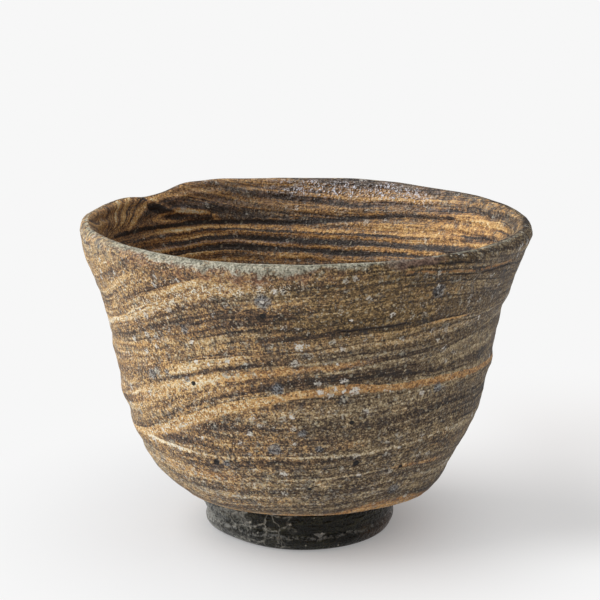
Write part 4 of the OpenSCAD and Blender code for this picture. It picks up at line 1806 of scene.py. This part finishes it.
@dataclass
class Studio:
    """A pale table in soft light from the left, with a pale room round it."""

    table_half: float = 4.0
    key_bearing: float = 183.0
    key_elevation: float = 42.0
    key_distance: float = 1.2
    key_size: float = 1.3
    key_power: float = 18.5
    room_level: float = 0.315
    # The table fades into the room between these distances from a point behind the cup
    fade: Point = (-8.0, 66.0)
    fade_behind: float = 4.0
    shadow_kept: float = 0.34

    def build(self) -> bpy.types.Object:
        """Lays the table and hangs the lights.

        Returns:
            The table.
        """
        bpy.ops.object.select_all(action="DESELECT")
        bpy.ops.mesh.primitive_plane_add(size=2 * self.table_half, location=(0, 0, 0))
        table = bpy.context.object
        table.name = "pale_table"
        table.data.materials.append(self._paper_finish())
        self._hang_key()
        self._fill_room()
        return table

    def _paper_finish(self) -> bpy.types.Material:
        """Matt pale paper, darker and cooler with painted shade on the lit side near the foot, warmer with
        painted bounce light on the shaded side, which fades into the room far from the cup.
        """
        graph = Graph(bpy.data.materials.new("pale_paper"))
        place = graph.millimetres()
        across, along, _ = graph.split(place)
        fibre = graph.noise(place, 0.02).rise(-1, 1)
        # Painted shade: the paper on the left, near the foot, is darker and cool. Painted bounce light: on
        # the right, in the cup's shadow, it is warm.
        cool_painted_shade = graph.mix(fibre, Tint.PAPER_COOL_PAINTED_SHADE.value, Tint.PAPER_COOL_PALE_PAINTED_SHADE.value)
        warm = graph.mix(fibre, Tint.PAPER_WARM_PAINTED_BOUNCE.value, Tint.PAPER_WARM_PALE_PAINTED_BOUNCE.value)
        paper = graph.mix(across.rise(-14.0, 22.0), cool_painted_shade, warm)
        matt = graph.add("ShaderNodeBsdfDiffuse", {}, {"Color": paper}).outputs[0]
        glow = graph.add("ShaderNodeEmission", {}, {"Color": Tint.BACKDROP.value}).outputs[0]
        path = graph.add("ShaderNodeLightPath")
        seen = Value(graph, path.outputs["Is Camera Ray"])
        seen = seen.most(Value(graph, path.outputs["Is Glossy Ray"]))
        seen = seen.most(Value(graph, path.outputs["Is Transmission Ray"]))
        shadow = across.rise(22.0, 52.0) * across.fall(60.0, 120.0)
        shadow = shadow * along.rise(-26.0, 0.0) * along.fall(40.0, 100.0)
        from_middle = graph.vector("SUBTRACT", place, (0.0, self.fade_behind, 0.0))
        far = Value(graph, graph.vector("LENGTH", from_middle, output=1)).rise(*self.fade)
        factor = seen * far * (1 - shadow * self.shadow_kept)
        surface = graph.add("ShaderNodeMixShader", {}, {0: factor, 1: matt, 2: glow}).outputs[0]
        graph.add("ShaderNodeOutputMaterial", {}, {"Surface": surface})
        return graph.owner

    def _hang_key(self) -> None:
        """Hangs the soft light at the left."""
        turn, tilt = math.radians(self.key_bearing), math.radians(self.key_elevation)
        away = Vector((math.cos(turn) * math.cos(tilt), math.sin(turn) * math.cos(tilt), math.sin(tilt)))
        bpy.ops.object.light_add(type="AREA", location=away * self.key_distance + Vector((0, 0, 0.03)))
        lamp = bpy.context.object
        lamp.name = "soft_window"
        lamp.rotation_euler = away.to_track_quat("Z", "Y").to_euler()
        lamp.data.size = self.key_size
        lamp.data.energy = self.key_power

    def _fill_room(self) -> None:
        """Fills the room with even light, and shows it pale to the camera."""
        world = bpy.data.worlds.new("pale_room")
        bpy.context.scene.world = world
        graph = Graph(world)
        light = {"Color": Tint.ROOM_LIGHT.value, "Strength": self.room_level}
        even = graph.add("ShaderNodeBackground", {}, light).outputs[0]
        shown = graph.add("ShaderNodeBackground", {}, {"Color": Tint.BACKDROP.value}).outputs[0]
        seen = graph.add("ShaderNodeLightPath").outputs["Is Camera Ray"]
        mixed = graph.add("ShaderNodeMixShader", {}, {0: seen, 1: even, 2: shown}).outputs[0]
        graph.add("ShaderNodeOutputWorld", {}, {0: mixed})


@dataclass
class Camera:
    """A long lens, a little above the rim."""

    place: tuple[float, float, float] = (-0.00086, -0.330, 0.1206)
    look_down: float = 13.79
    lens: float = 120.33
    sensor: float = 36.0

    def build(self) -> None:
        """Sets the camera up."""
        tilt = (math.radians(90 - self.look_down), 0, 0)
        bpy.ops.object.camera_add(location=self.place, rotation=tilt)
        camera = bpy.context.object
        camera.data.lens = self.lens
        camera.data.sensor_width = self.sensor
        bpy.context.scene.camera = camera


def main() -> None:
    """Builds the studio and the cup, and reports each piece."""
    logging.basicConfig(level=logging.INFO, format="%(message)s")
    scene = bpy.context.scene
    scene.view_settings.view_transform = "Standard"
    Camera().build()
    Studio().build()
    strata = Strata()
    bowl = Bowl()
    pieces = []
    skin = bowl.build(strata)
    bowl.dress(skin)
    pieces.append(skin)
    for part in (FootRing(), LutingSlip()):
        skin = part.build(bowl)
        part.dress(skin)
        pieces.append(skin)
    for skin in pieces:
        log.info("%s: %d faces", skin.piece.name, len(skin.piece.data.polygons))


if __name__ == "__main__":
    main()
